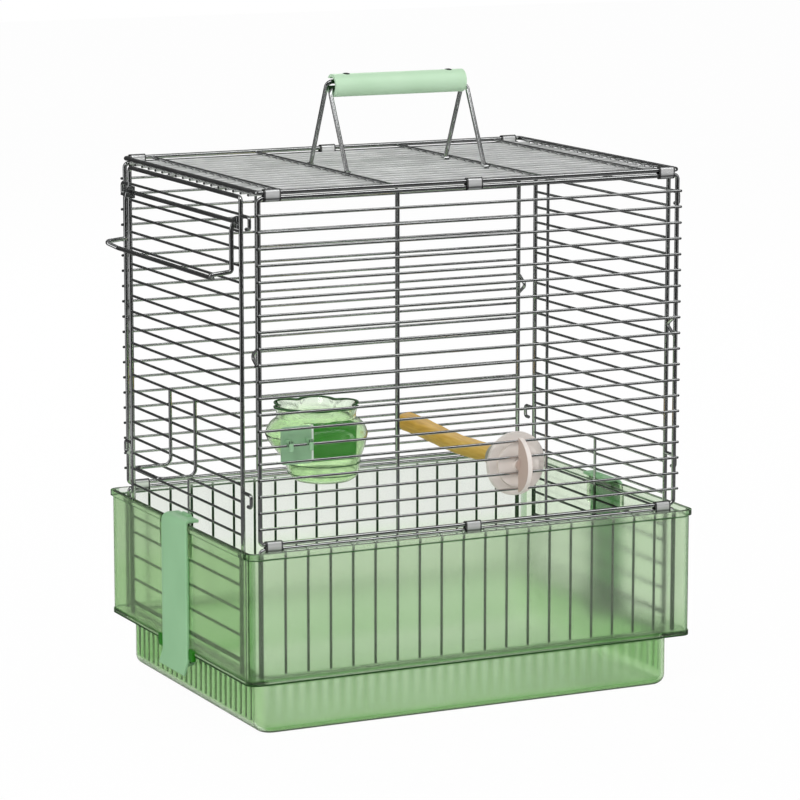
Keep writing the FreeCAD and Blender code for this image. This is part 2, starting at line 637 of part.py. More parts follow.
def cup_bowl(centre_y, inset):
    """The round bowl as a solid, drawn in by an inset."""
    foot, belly, neck = CUP_FOOT_R - inset, CUP_BELLY_R - inset, CUP_NECK_R - inset
    low, waist, high = inset, CUP_BELLY_HEIGHT, CUP_NECK_HEIGHT
    bow = math.sin(math.pi / 4)

    def place(radius, height):
        return Vector(CUP_X + radius, centre_y, CUP_BOTTOM_Z + height)

    lower_mid = place(foot + (belly - foot) * bow, waist - (waist - low) * bow)
    upper_mid = place(neck + (belly - neck) * bow, waist + (high - waist) * bow)
    edges = [
        Part.LineSegment(place(0, low), place(foot, low)).toShape(),
        Part.Arc(place(foot, low), lower_mid, place(belly, waist)).toShape(),
        Part.Arc(place(belly, waist), upper_mid, place(neck, high)).toShape(),
        Part.LineSegment(place(neck, high), place(0, high)).toShape(),
        Part.LineSegment(place(0, high), place(0, low)).toShape(),
    ]
    return Part.Face(Part.Wire(edges)).revolve(place(0, 0), Z_AXIS, 360)


def petal_outline(centre_y, lobe_centre, lobe_radius, level):
    """A flower outline: one arc for each petal."""
    half = math.pi / PETALS
    offset = lobe_centre * math.sin(half)
    notch = lobe_centre * math.cos(half) + math.sqrt(lobe_radius ** 2 - offset ** 2)

    def place(distance, turn):
        return Vector(CUP_X + distance * math.cos(turn), centre_y + distance * math.sin(turn), level)

    arcs = []
    for lobe in range(PETALS):
        turn = 2 * half * lobe
        tip = place(lobe_centre + lobe_radius, turn)
        arcs.append(Part.Arc(place(notch, turn - half), tip, place(notch, turn + half)).toShape())
    return Part.Wire(arcs)


def petal_rim(centre_y, inset):
    """The flared petal rim as a solid, drawn in by an inset."""
    root_z = CUP_BOTTOM_Z + CUP_NECK_HEIGHT
    root = petal_outline(centre_y, PETAL_ROOT_OFFSET, CUP_NECK_R - PETAL_ROOT_OFFSET - inset, root_z)
    tip = petal_outline(centre_y, PETAL_TIP_OFFSET, PETAL_TIP_R - inset, root_z + PETAL_HEIGHT)
    return Part.makeLoft([root, tip], True, True)


def feeder_pieces():
    """The feeder cup and the plate that hangs it on a bar."""
    face_y = -(CAGE_HALF_DEPTH - FRAME_R) + HANGER_CLEARANCE
    back_y = face_y + HANGER_THICKNESS
    cup_y = back_y + CUP_PLATE_GAP + CUP_BELLY_R
    body = cup_bowl(cup_y, 0)
    bowl = body.cut(cup_bowl(cup_y, CUP_WALL))
    cup = bowl.fuse(petal_rim(cup_y, 0).cut(petal_rim(cup_y, CUP_WALL))).removeSplitter()

    bar_z = PANEL_BOTTOM_Z + HANGER_BAR * BAR_PITCH
    right = HANGER_LEFT + HANGER_WIDTH
    plate = box((HANGER_LEFT, face_y, bar_z - HANGER_DROP), (right, back_y, bar_z + HANGER_RISE))
    hook_low = bar_z + BAR_R + HANGER_CLEARANCE
    outside = -(BAR_PLANE + BAR_R + HANGER_CLEARANCE)
    front_y = outside - HANGER_HOOK_THICKNESS
    pieces = []
    for x in (HANGER_LEFT + HANGER_HOOK_INSET, right - HANGER_HOOK_INSET - HANGER_HOOK_WIDTH):
        end = x + HANGER_HOOK_WIDTH
        pieces.append(box((x, front_y, hook_low), (end, face_y, hook_low + HANGER_HOOK_THICKNESS)))
        pieces.append(box((x, front_y, hook_low - HANGER_HOOK_LIP), (end, outside, hook_low)))
    block_low = bar_z - HANGER_DROP
    block_high = block_low + HANGER_BLOCK_HEIGHT
    block = box((right - HANGER_BLOCK_WIDTH, back_y, block_low), (right, cup_y, block_high))
    hanger = plate.fuse(pieces + [block.cut(body)]).removeSplitter()
    return cup, hanger


os.makedirs("parts", exist_ok=True)

save("lower_tray", lower_tray())
save("upper_surround", upper_surround())
save("clip_pins", clip_pin(-1), clip_pin(1))
save("left_clip", clip(-1))
save("right_clip", clip(1))

for name, side in (("front", -1), ("back", 1)):
    save(name + "_skirt_frame", skirt_frame(side))
    save(name + "_skirt_wires", *skirt_wires(side))
    save(name + "_bottom_sleeves", *sleeves(side, SKIRT_TOP_Z))
    save(name + "_panel_frame", panel_frame(side))
    save(name + "_panel_bars", *panel_bars(side))
    save(name + "_panel_stiffeners", *panel_stiffeners(side))
    save(name + "_panel_noses", *panel_noses(side))
    save(name + "_top_sleeves", *sleeves(side, PANEL_TOP_Z))

save("top_panel_frame", top_frame())
save("top_panel_wires", *top_wires())
save("top_cross_bars", *top_cross_bars())

for name, side in (("left", -1), ("right", 1)):
    save(name + "_side_frame", side_frame(side))
    save(name + "_side_bars", *side_bars(side))
    save(name + "_side_stiffener", side_stiffener(side))
    save(name + "_side_hooks", *side_hooks(side))

save("left_bracket", left_bracket())
save("bail_rod", bail_rod())
save("lock_bail", lock_bail())

save("handle_front_bail", handle_bail(-1))
save("handle_rear_bail", handle_bail(1))
save("handle_grip", handle_grip())
save("grip_studs", *grip_studs())

perch_dowel, perch_holder, perch_key = perch_pieces()
save("perch_dowel", perch_dowel)
save("perch_holder", perch_holder)
save("perch_key", perch_key)

feeder_cup, feeder_hanger = feeder_pieces()
save("feeder_cup", feeder_cup)
save("feeder_hanger", feeder_hanger)
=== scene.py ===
import json
import math

import bmesh
import bpy
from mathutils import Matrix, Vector


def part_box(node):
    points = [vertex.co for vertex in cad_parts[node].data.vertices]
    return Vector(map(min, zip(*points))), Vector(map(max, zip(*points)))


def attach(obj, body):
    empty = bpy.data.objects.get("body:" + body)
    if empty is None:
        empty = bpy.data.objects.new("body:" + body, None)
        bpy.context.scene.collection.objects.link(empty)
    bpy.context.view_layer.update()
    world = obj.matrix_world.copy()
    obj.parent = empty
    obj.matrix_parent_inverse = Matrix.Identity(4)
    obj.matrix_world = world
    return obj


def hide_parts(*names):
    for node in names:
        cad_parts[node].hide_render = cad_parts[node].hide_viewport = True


# Looks of the folding bird travel cage, in metres, +Z up and +Y to the back.

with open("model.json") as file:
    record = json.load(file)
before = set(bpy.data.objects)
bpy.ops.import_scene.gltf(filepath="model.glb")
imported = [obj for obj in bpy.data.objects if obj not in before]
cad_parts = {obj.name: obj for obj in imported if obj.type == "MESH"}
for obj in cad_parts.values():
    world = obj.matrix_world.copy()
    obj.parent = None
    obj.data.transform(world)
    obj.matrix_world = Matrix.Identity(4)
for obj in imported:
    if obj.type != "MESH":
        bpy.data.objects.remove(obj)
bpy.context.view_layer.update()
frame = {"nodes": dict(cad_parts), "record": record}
nodes = frame["nodes"]
MM = 0.001
SHARP_TURN = math.radians(38)

# Counts and small sizes that the frame's boxes don't give
PANEL_BARS = 20
SIDE_LOW_BARS = 3
SIDE_HIGH_BARS = 22
SIDE_LOW_PITCH = 16.7 * MM
TOP_WIRES = 18
SKIRT_WIRES = 18
BEAD_R = 0.95 * MM
CUT_END_R = 0.95 * MM
SLEEVE_LENGTH = 11.5 * MM
SLEEVE_END = 0.8 * MM
RIM_LIP = 1.8 * MM
RIM_HEIGHT = 3.6 * MM
FOOT_HEIGHT = 3 * MM
SURROUND_WALL = 2 * MM
SURROUND_CORNER = 7 * MM
EDGE_LINE_R = 0.55 * MM
EDGE_LINE_SINK = 0.3 * MM
FOOT_FADE_Z = 60 * MM
REAR_FADE_LOW_Z = 66 * MM
REAR_FADE_HIGH_Z = 82 * MM
TRAY_HALF_WIDTH = 154 * MM
TRAY_CORNER = 12 * MM
TRAY_HEIGHT = 36 * MM
FLUTE_PITCH = 8.4 * MM
FLUTE_R = 3.3 * MM
FLUTE_FOOT_R = 2.6 * MM
FLUTE_FLATNESS = 0.42
FLUTE_FOOT_Z = 8 * MM
CLIP_THICKNESS = 2.2 * MM
CLIP_WALL_GAP = 0.4 * MM
CLIP_RISE = 3.2 * MM
CLIP_CORNER = 8 * MM
CLIP_BEND = 3.4 * MM
CLIP_TAIL_RISE = 2 * MM
CLIP_TAIL_FLARE = 3 * MM
CLIP_NOTCH_GAP = 0.8 * MM
CLIP_EDGE = 0.7 * MM
CLIP_TIP_R = 1.6 * MM
CURL_WIDTH = 3.4 * MM
CURL_DROP = 21 * MM
CURL_SINK = 0.2 * MM
CURL_INSET = 0.1 * MM
CURL_CORNER = 1.5 * MM
CURL_EDGE = 0.5 * MM
GUARD_WIDTH = 8 * MM
GUARD_FOOT_Z = 32 * MM
GUARD_TOP_Z = 40.5 * MM
GUARD_REACH = 2.2 * MM
GUARD_SINK = 0.5 * MM
GUARD_CORNER = 2 * MM
GUARD_EDGE = 0.8 * MM
PIN_R = 2 * MM
LUG_R = 4.3 * MM
EAR_NEAR = 6.3 * MM
EAR_FAR = 10.3 * MM
COLLAR_LENGTH = 24 * MM
KEY_THICKNESS = 3.6 * MM
BORE_R = 5.3 * MM
BORE_FADE_R = 6 * MM
STUD_X = 38.4 * MM
LENS_R = 2.8 * MM
LENS_RISE = 1 * MM
LENS_SINK = 0.5 * MM
LENS_RINGS = 7
BRANCH_STEPS = 60
BRANCH_SPOKES = 28
BRANCH_SWAY_X = 1 * MM
BRANCH_SWAY_Z = 0.9 * MM
BRANCH_TIP = 0.86
CUP_WALL = 1.8 * MM
CUP_NECK_R = 27 * MM
CUP_NECK_HEIGHT = 42 * MM
PETALS = 6
PETAL_OFFSET = 17 * MM
PETAL_R = 13.5 * MM
PETAL_TURN = math.radians(5.3)
BOWL_SPOKES = 96
BOWL_LOBES = 0.02
BOWL_LINE_RINGS = (4, 6)
BOWL_LINE_R = 0.35 * MM
BOWL_LINE_PROUD = 0.1 * MM
RIM_RINGS = 8
RIM_LINE_R = 0.75 * MM
RIM_START = 0.8 * MM
DIVIDER_THICKNESS = 2 * MM
DIVIDER_FORWARD = 18 * MM
DIVIDER_LEFT = 11.5 * MM
DIVIDER_RIGHT = 20 * MM
DIVIDER_FOOT_Z = 16 * MM
DIVIDER_GAP = 1 * MM
PLATE_WIDTH = 22 * MM
PLATE_FACE_INSET = 7.8 * MM
PLATE_THICKNESS = 2 * MM
PLATE_CORNER = 2.4 * MM
PLATE_EDGE = 0.7 * MM
HOOK_WIDTH = 2.6 * MM
HOOK_INSET = 2.6 * MM
HOOK_THICKNESS = 2.4 * MM
HOOK_LIP = 5 * MM
HOOK_RISE = 14.7 * MM
HOOK_SINK = 0.5 * MM
HOOK_CORNER = 0.9 * MM
HOOK_EDGE = 0.4 * MM
BLOCK_WIDTH = 11 * MM
BLOCK_HEIGHT = 14 * MM
BLOCK_SINK = 0.3 * MM
BLOCK_RIGHT_Y = 26 * MM
BLOCK_MIDDLE_Y = 21 * MM
BLOCK_LEFT_Y = 12 * MM
RIB_HALF_WIDTH = 0.7 * MM
RIB_PROUD = 0.3 * MM
RIB_FOOT = 1 * MM
RIB_CORNER = 0.6 * MM
RIB_EDGE = 0.3 * MM


class Value:
    """An output socket. Sums of values add their own Math nodes."""

    def __init__(self, nodes, socket):
        self.nodes = nodes
        self.socket = socket

    def math(self, operation, *others):
        terms = dict(enumerate((self,) + others))
        return self.nodes.node("ShaderNodeMath", {"operation": operation}, terms)

    def __add__(self, other):
        return self.math("ADD", other)

    def __sub__(self, other):
        return self.math("SUBTRACT", other)

    def __mul__(self, other):
        return self.math("MULTIPLY", other)

    def __rsub__(self, other):
        return self.nodes.node("ShaderNodeMath", {"operation": "SUBTRACT"}, {0: other, 1: self})

    def __abs__(self):
        return self.math("ABSOLUTE")

    __radd__ = __add__
    __rmul__ = __mul__

    def band(self, start, end):
        """0 before start, 1 after end and an even ramp between them."""
        terms = {"Value": self, "From Min": start, "From Max": end}
        return self.nodes.node("ShaderNodeMapRange", {"clamp": True}, terms)

    def line(self, centre, half, soft):
        """1 within half of a centre, falling to 0 over a soft edge."""
        return 1.0 - abs(self - centre).band(half, half + soft)


class Nodes:
    """A node tree. Its one method adds any node, with settings and linked or plain values."""

    def __init__(self, tree):
        self.tree = tree

    def link(self, socket, value):
        if isinstance(value, Value):
            self.tree.links.new(value.socket, socket)
        else:
            socket.default_value = value

    def node(self, kind, settings=None, links=None, output=0):
        made = self.tree.nodes.new(kind)
        for key, value in (settings or {}).items():
            if key == "stops":
                ramp = made.color_ramp.elements
                while len(ramp) < len(value):
                    ramp.new(1.0)
                for stop, (place, colour) in zip(ramp, value):
                    stop.position = place
                    stop.color = colour
            else:
                setattr(made, key, value)
        for key, value in (links or {}).items():
            self.link(made.inputs[key], value)
        return Value(self, made.outputs[output])


class Finish(Nodes):
    """A material, made of nodes that end in one Principled shader."""

    def __init__(self, name, **constants):
        self.material = bpy.data.materials.new(name)
        self.material.use_nodes = True
        super().__init__(self.material.node_tree)
        self.shader = self.tree.nodes["Principled BSDF"]
        for socket, value in constants.items():
            self.shader.inputs[socket.replace("_", " ")].default_value = value

    def place(self, **mapping):
        """Object coordinates, through a Mapping node where a scale or turn is given."""
        spot = self.node("ShaderNodeTexCoord", output="Object")
        if not mapping:
            return spot
        links = {key.capitalize(): value for key, value in mapping.items()}
        return self.node("ShaderNodeMapping", links={"Vector": spot, **links})

    def axis(self, letter):
        return self.node("ShaderNodeSeparateXYZ", links={"Vector": self.place()}, output=letter)

    def noise(self, scale, detail=3.0, spot=None):
        links = {"Vector": spot or self.place(), "Scale": scale, "Detail": detail}
        return self.node("ShaderNodeTexNoise", links=links)

    def mix(self, share, first, second):
        links = {0: share, 6: first, 7: second}
        return self.node("ShaderNodeMix", {"data_type": "RGBA"}, links, output=2)

    def bump(self, height, depth, strength=1.0):
        links = {"Height": height, "Distance": depth, "Strength": strength}
        self.feed("Normal", self.node("ShaderNodeBump", links=links))

    def feed(self, socket, value):
        self.link(self.shader.inputs[socket], value)


class Rows(Nodes):
    """A Geometry Nodes tree that sets one shape along a straight row."""

    def __init__(self, name, shape, sizes):
        super().__init__(bpy.data.node_groups.new(name, "GeometryNodeTree"))
        sockets = self.tree.interface
        sockets.new_socket("Geometry", in_out="OUTPUT", socket_type="NodeSocketGeometry")
        kinds = {"Count": "Int", "Start": "Vector", "Step": "Vector", "Finish": "Material", **sizes}
        for label, kind in kinds.items():
            sockets.new_socket(label, in_out="INPUT", socket_type="NodeSocket" + kind)
        given = self.tree.nodes.new("NodeGroupInput")
        self.given = {label: Value(self, given.outputs[label]) for label in kinds}
        count, start, step = (self.given[label] for label in ("Count", "Start", "Step"))
        links = {"Count": count, "Start Location": start, "Offset": step}
        line = self.node("GeometryNodeMeshLine", {"mode": "OFFSET"}, links)
        links = {"Points": line, "Instance": shape(self)}
        spread = self.node("GeometryNodeInstanceOnPoints", links=links)
        solid = self.node("GeometryNodeRealizeInstances", links={0: spread})
        links = {"Geometry": solid, "Material": self.given["Finish"]}
        dressed = self.node("GeometryNodeSetMaterial", links=links)
        self.link(self.tree.nodes.new("NodeGroupOutput").inputs[0], dressed)

    def mesh(self, **values):
        """The plain mesh that the tree gives for these values."""
        holder = placed("row", bpy.data.meshes.new("row"))
        modifier = holder.modifiers.new("row", "NODES")
        modifier.node_group = self.tree
        for item in self.tree.interface.items_tree:
            if item.in_out == "INPUT":
                modifier[item.identifier] = values[item.name]
        result = plain_mesh(holder)
        bpy.data.objects.remove(holder)
        return result


def rgb(red, green, blue):
    return (red, green, blue, 1.0)


# Finishes

GLOSSY = 0.1
FROSTED = 0.2
MILKY = 0.95
EDGE_BAND = 0.6 * MM
EDGE_SOFT = 0.4 * MM
SKIN = 0.2 * MM
MIDDLE_FADE = 10 * MM


def plated_wire():
    """Bright plated wire with small stains and a soft gloss, with painted shade: dark green below
    the surround's rim.
    """
    finish = Finish("plated_wire", Metallic=1.0)
    stain = finish.noise(45.0)
    grit = finish.noise(900.0, 2.0)
    rim_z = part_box("upper_surround")[1].z
    # Painted shade: the wires below the surround's rim are mixed to a dark green, which stands in
    # for the shade inside it.
    shade_below_rim = 1.0 - finish.axis("Z").band(rim_z - 5 * MM, rim_z - 1 * MM)
    plating = finish.mix(stain.band(0.35, 0.7), rgb(0.5, 0.51, 0.51), rgb(0.66, 0.67, 0.67))
    finish.feed("Base Color", finish.mix(0.94 * shade_below_rim, plating, rgb(0.02, 0.045, 0.02)))
    finish.feed("Roughness", 0.06 + 0.06 * stain + 0.03 * grit)
    finish.bump(grit, 0.00002, 0.4)
    return finish.material


def satin_wire():
    """The top's wires: a satin plating, painted paler than the other wires as painted light, that
    shows little of the room.
    """
    finish = Finish("satin_wire", Metallic=0.5)
    stain = finish.noise(45.0)
    # Painted light: this paler base colour is a lit copy of the wire plating, so that the top reads
    # brighter.
    plating = finish.mix(stain.band(0.35, 0.7), rgb(0.62, 0.63, 0.625), rgb(0.8, 0.81, 0.805))
    finish.feed("Base Color", plating)
    finish.feed("Roughness", 0.38 + 0.15 * stain)
    return finish.material


def cut_steel():
    """The dark cut ends of the wires."""
    finish = Finish("cut_steel", Metallic=1.0)
    speck = finish.noise(1500.0, 2.0)
    finish.feed("Base Color", finish.mix(speck, rgb(0.03, 0.03, 0.03), rgb(0.12, 0.12, 0.12)))
    finish.feed("Roughness", 0.35 + 0.2 * speck)
    return finish.material


def rolled_sheet(node):
    """Rolled sheet-metal sleeves, finely scratched, with a painted reflection (bright bands above,
    dark bands below) and painted shadow dark at their ends.
    """
    finish = Finish("rolled_" + node, Metallic=0.5)
    scratch = finish.noise(400.0, 3.0, finish.place(scale=(0.2, 4.0, 1.0)))
    low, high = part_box(node)
    height = finish.axis("Z").band(low.z, high.z)
    # Painted reflection: the bands of this ramp stand in for the mirrored room and lamps, bright
    # above and dark below.
    painted_reflection = [
        (0.0, rgb(0.02, 0.02, 0.02)), (0.13, rgb(0.45, 0.46, 0.46)), (0.26, rgb(0.05, 0.05, 0.05)),
        (0.4, rgb(0.7, 0.71, 0.71)), (0.62, rgb(0.98, 0.98, 0.98)), (0.84, rgb(0.85, 0.86, 0.86)),
        (1.0, rgb(0.04, 0.04, 0.04)),
    ]
    tint = finish.node("ShaderNodeValToRGB", {"stops": painted_reflection}, {0: height + 0.12 * (scratch - 0.5)})
    # Painted shadow: the sleeves are darkened at their ends, where the wires shade them.
    across = abs(finish.axis("X"))
    ends = across.line(high.x, SLEEVE_END, EDGE_SOFT)
    for end in (high.x - SLEEVE_LENGTH, SLEEVE_LENGTH / 2):
        ends = ends.math("MAXIMUM", across.line(end, SLEEVE_END, EDGE_SOFT))
    finish.feed("Base Color", finish.mix(0.9 * ends, tint, rgb(0.02, 0.02, 0.02)))
    finish.feed("Roughness", 0.12 + 0.16 * scratch)
    finish.bump(scratch, 0.00005)
    return finish.material


def clear_green(name, pale, deep, roughness, clarity=1.0):
    """Tinted plastic with faint clouds and ripples, milky where clarity is under 1.

    Gives the finish and its tint.
    """
    finish = Finish(name, Transmission_Weight=clarity, IOR=1.45, Roughness=roughness)
    cloud = finish.noise(14.0, 2.0)
    finish.bump(finish.noise(60.0, 2.0), 0.0002, 0.25)
    return finish, finish.mix(cloud.band(0.3, 0.75), pale, deep)


def surround_green():
    """The surround, glossier at the sides, with painted light (palest at the back, deeper at the
    sides, the right wall paler than the left) and painted shade (deeper green low down, dark at its
    edges).
    """
    pale, deep = rgb(0.81, 0.9, 0.76), rgb(0.76, 0.87, 0.71)
    finish, tint = clear_green("surround_green", pale, deep, FROSTED, MILKY)
    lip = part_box("upper_surround")[1]
    wall = lip - Vector((RIM_LIP, RIM_LIP, 0))
    across, along, up = (finish.axis(letter) for letter in "XYZ")
    rear, right = along.band(0.0, MIDDLE_FADE), across.band(0.0, MIDDLE_FADE)
    across, along = abs(across), abs(along)
    side = across.band(wall.x - 1.6 * SURROUND_WALL, wall.x - 1.1 * SURROUND_WALL)
    skin_x = across.band(wall.x - EDGE_BAND, wall.x - SKIN)
    skin = skin_x.math("MAXIMUM", along.band(wall.y - EDGE_BAND, wall.y - SKIN))
    # Painted shade: dark lines on the outer skin under the lip, where its shadow falls, and at the
    # sole and instep, where the thick clear edges look dark.
    lip_shadow = up.line(lip.z - RIM_HEIGHT - EDGE_BAND, EDGE_BAND, EDGE_SOFT)
    sole_shade = up.line(TRAY_HEIGHT, EDGE_BAND, 0.3 * MM)
    instep_shade = up.line(TRAY_HEIGHT + FOOT_HEIGHT, EDGE_BAND, EDGE_SOFT)
    lines = lip_shadow.math("MAXIMUM", sole_shade).math("MAXIMUM", instep_shade) * skin
    # Painted shade: a dark strip down each corner, where the thick plastic looks dark.
    turn = wall.x + wall.y - SURROUND_CORNER * (2 - math.sqrt(2))
    corner = (across + along).band(turn - 1.2 * MM, turn - 0.5 * MM)
    # Painted shade: a deeper, darker green low on the walls.
    low = 0.7 - 0.7 * up.band(TRAY_HEIGHT + FOOT_HEIGHT, FOOT_FADE_Z)
    tint = finish.mix(low, tint, rgb(0.5, 0.7, 0.43))
    finish.feed("Roughness", FROSTED - (FROSTED - GLOSSY) * side)
    # Painted light: the back wall is painted paler, palest high up, and the side walls deeper, the
    # right one paler than the left.
    high = up.band(REAR_FADE_LOW_Z, REAR_FADE_HIGH_Z)
    rear_light_tint = finish.mix(high, rgb(0.77, 0.89, 0.7), rgb(0.88, 0.91, 0.86))
    tint = finish.mix(rear, tint, rear_light_tint)
    tint = finish.mix(side, tint, finish.mix(right, rgb(0.52, 0.73, 0.43), rgb(0.76, 0.87, 0.7)))
    # The painted shade of the lines and corners darkens the tint.
    edge_shade = 0.75 * lines.math("MAXIMUM", corner)
    finish.feed("Base Color", finish.mix(edge_shade, tint, rgb(0.06, 0.24, 0.04)))
    return finish.material


def tray_green():
    """The tray, with painted light (highlight stripes over the long walls' flutes, paler greener
    ends, a pale band at the ends' foot), painted shade (a deeper green foot on the long walls, a
    dark line at its bottom edge) and a greyer floor.
    """
    pale, deep = rgb(0.55, 0.73, 0.49), rgb(0.49, 0.68, 0.42)
    finish, tint = clear_green("tray_green", pale, deep, 0.16, MILKY)
    across, along, up = (finish.axis(letter) for letter in "XYZ")
    half_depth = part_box("lower_tray")[1].y
    end = abs(across).band(TRAY_HALF_WIDTH - 6 * MM, TRAY_HALF_WIDTH - 3 * MM)
    wall = abs(along).band(half_depth - 9 * MM, half_depth - 6 * MM).math("MAXIMUM", end)
    low = 1.0 - up.band(3 * MM, 8 * MM)
    # Painted highlight: paler stripes stand in for the light on the long walls' flutes.
    wave = (across * (2 * math.pi / FLUTE_PITCH)).math("SINE")
    flute_highlight = (0.5 + 0.5 * wave) * up.band(FLUTE_FOOT_Z, TRAY_HEIGHT)
    tint = finish.mix(0.8 * flute_highlight, tint, rgb(0.78, 0.89, 0.74))
    # Painted light: the ends are painted paler and greener than the long walls.
    tint = finish.mix(end, tint, rgb(0.64, 0.86, 0.54))
    tint = finish.mix(low * (1.0 - wall), tint, rgb(0.54, 0.7, 0.48))
    # Painted shade: a deeper green at the long walls' foot; painted light: a pale band at the ends'
    # foot.
    tint = finish.mix(0.75 * low * (wall - end), tint, rgb(0.3, 0.58, 0.21))
    tint = finish.mix(0.8 * low * end, tint, rgb(0.76, 0.9, 0.7))
    # Painted shadow: a dark line along the bottom edge of the walls.
    foot = up.line(0.0, 1.4 * MM, 0.8 * MM) * wall
    finish.feed("Base Color", finish.mix(0.8 * foot, tint, rgb(0.1, 0.28, 0.06)))
    return finish.material


def flute_green():
    """The flutes: the tray's plastic painted paler than its wall, as painted light on their ridges.
    """
    finish, tint = clear_green("flute_green", rgb(0.8, 0.92, 0.75), rgb(0.7, 0.86, 0.64), 0.12)
    finish.feed("Base Color", tint)
    return finish.material


def cup_green():
    """The cup, greyer towards its rim."""
    finish, tint = clear_green("cup_green", rgb(0.83, 0.97, 0.73), rgb(0.74, 0.94, 0.64), 0.09)
    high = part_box("feeder_cup")[1]
    rim = finish.axis("Z").band(high.z - 8 * MM, high.z - 3 * MM)
    finish.feed("Base Color", finish.mix(0.7 * rim, tint, rgb(0.86, 0.93, 0.83)))
    return finish.material


def deep_green():
    """The thick dark plastic of the cup's divider and of the guards beside the clips."""
    pale, deep = rgb(0.05, 0.42, 0.02), rgb(0.03, 0.32, 0.012)
    finish, tint = clear_green("deep_green", pale, deep, 0.14, 0.5)
    finish.feed("Base Color", tint)
    return finish.material


def moulded(name, pale, deep, roughness=0.4):
    """Opaque moulded plastic with a fine satin grain. Gives the finish and its tint."""
    finish = Finish(name, IOR=1.48)
    cloud = finish.noise(25.0)
    grain = finish.noise(2200.0, 1.0)
    finish.feed("Roughness", roughness + 0.12 * grain)
    finish.bump(grain, 0.00004, 0.5)
    tint = finish.mix(cloud.band(0.3, 0.7), pale, deep)
    finish.feed("Base Color", tint)
    return finish, tint


def clip_sage():
    """The clips' sage plastic, with painted light: a fresher, lighter green on the face towards the
    surround, which is seen in shade through its walls.
    """
    finish, tint = moulded("sage_plastic", rgb(0.35, 0.64, 0.36), rgb(0.32, 0.6, 0.33))
    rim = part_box("upper_surround")[1]
    wall = rim.x - RIM_LIP
    up = finish.axis("Z")
    # Painted light: the face towards the surround, between the guards and the rim, is painted a
    # lighter, fresher green.
    face = 1.0 - abs(finish.axis("X")).band(wall + 0.6 * MM, wall + 1.0 * MM)
    face = face * up.band(GUARD_TOP_Z, GUARD_TOP_Z + 4 * MM)
    face = face * (1.0 - up.band(rim.z - 9 * MM, rim.z - 6 * MM))
    finish.feed("Base Color", finish.mix(face, tint, rgb(0.2, 0.7, 0.24)))
    return finish.material


def grip_mint():
    """The grip's mint plastic, with painted shade dark inside its bore."""
    finish, tint = moulded("mint_plastic", rgb(0.6, 0.84, 0.6), rgb(0.54, 0.79, 0.54))
    low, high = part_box("handle_grip")
    middle = (low.z + high.z) / 2
    along, up = finish.axis("Y"), finish.axis("Z") - middle
    radius = (along * along + up * up).math("SQRT")
    # Painted shade: the hollow of the bore is painted dark green.
    bore_shade = 1.0 - radius.band(BORE_R, BORE_FADE_R)
    finish.feed("Base Color", finish.mix(bore_shade, tint, rgb(0.05, 0.15, 0.05)))
    return finish.material


def perch_beige():
    """The perch's beige plastic, with painted shade: greyer on the collar behind the disc, browner
    on the flats of the key's fin.
    """
    finish, tint = moulded("beige_plastic", rgb(0.88, 0.82, 0.77), rgb(0.8, 0.73, 0.67))
    key_low, key_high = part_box("perch_key")
    across, along = finish.axis("X"), finish.axis("Y")
    collar_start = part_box("perch_holder")[1].y - COLLAR_LENGTH
    collar_shade = along.band(collar_start, collar_start + 1 * MM)
    aside = abs(across - (key_low.x + key_high.x) / 2)
    fin_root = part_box("front_panel_bars")[0].y
    half = KEY_THICKNESS / 2
    flat = aside.band(half - 0.3 * MM, half - 0.1 * MM)
    flat = flat * (1.0 - along.band(fin_root - 0.3 * MM, fin_root))
    # Painted shade: the collar is painted grey and the fin's flat faces brown, where they turn from
    # the light.
    tint = finish.mix(collar_shade, tint, rgb(0.36, 0.36, 0.3))
    finish.feed("Base Color", finish.mix(flat, tint, rgb(0.56, 0.44, 0.38)))
    return finish.material


def branch_wood():
    """Golden bare wood with grain along the branch."""
    finish = Finish("branch_wood")
    along = finish.place(scale=(1.0, 0.08, 1.0))
    grain = finish.noise(700.0, 4.0, along)
    fleck = finish.noise(120.0, 3.0, along)
    dark, golden, pale = rgb(0.46, 0.23, 0.01), rgb(0.74, 0.44, 0.05), rgb(0.92, 0.68, 0.2)
    wood = [(0.25, dark), (0.5, golden), (0.8, pale)]
    shade = 0.5 * grain + 0.5 * fleck
    finish.feed("Base Color", finish.node("ShaderNodeValToRGB", {"stops": wood}, {0: shade}))
    finish.feed("Roughness", 0.45 + 0.2 * grain)
    finish.bump(grain, 0.0003, 0.6)
    return finish.material


WIRE = plated_wire()
LIT_SATIN = satin_wire()
CUT = cut_steel()
SURROUND = surround_green()
TRAY = tray_green()
LIT_FLUTE = flute_green()
CUP = cup_green()
DEEP = deep_green()
SAGE = clip_sage()
# Painted shade: a dark green for beads put where clear edges look dark or a lip casts shadow.
SHADE_LINE = moulded("line_green", rgb(0.03, 0.13, 0.025), rgb(0.02, 0.1, 0.018), 0.3)[0].material
PLATE = moulded("plate_plastic", rgb(0.31, 0.54, 0.32), rgb(0.28, 0.5, 0.29), 0.3)[0].material
# Painted highlight: a pale plastic for the rib that stands in for the bright edge of the feeder's
# plate.
HIGHLIGHT_EDGE = moulded("pale_edge", rgb(0.86, 0.93, 0.86), rgb(0.78, 0.88, 0.78), 0.3)[0].material
MINT = grip_mint()
STUD = moulded("dark_stud", rgb(0.02, 0.025, 0.022), rgb(0.04, 0.045, 0.04), 0.2)[0].material
BEIGE = perch_beige()
WOOD = branch_wood()

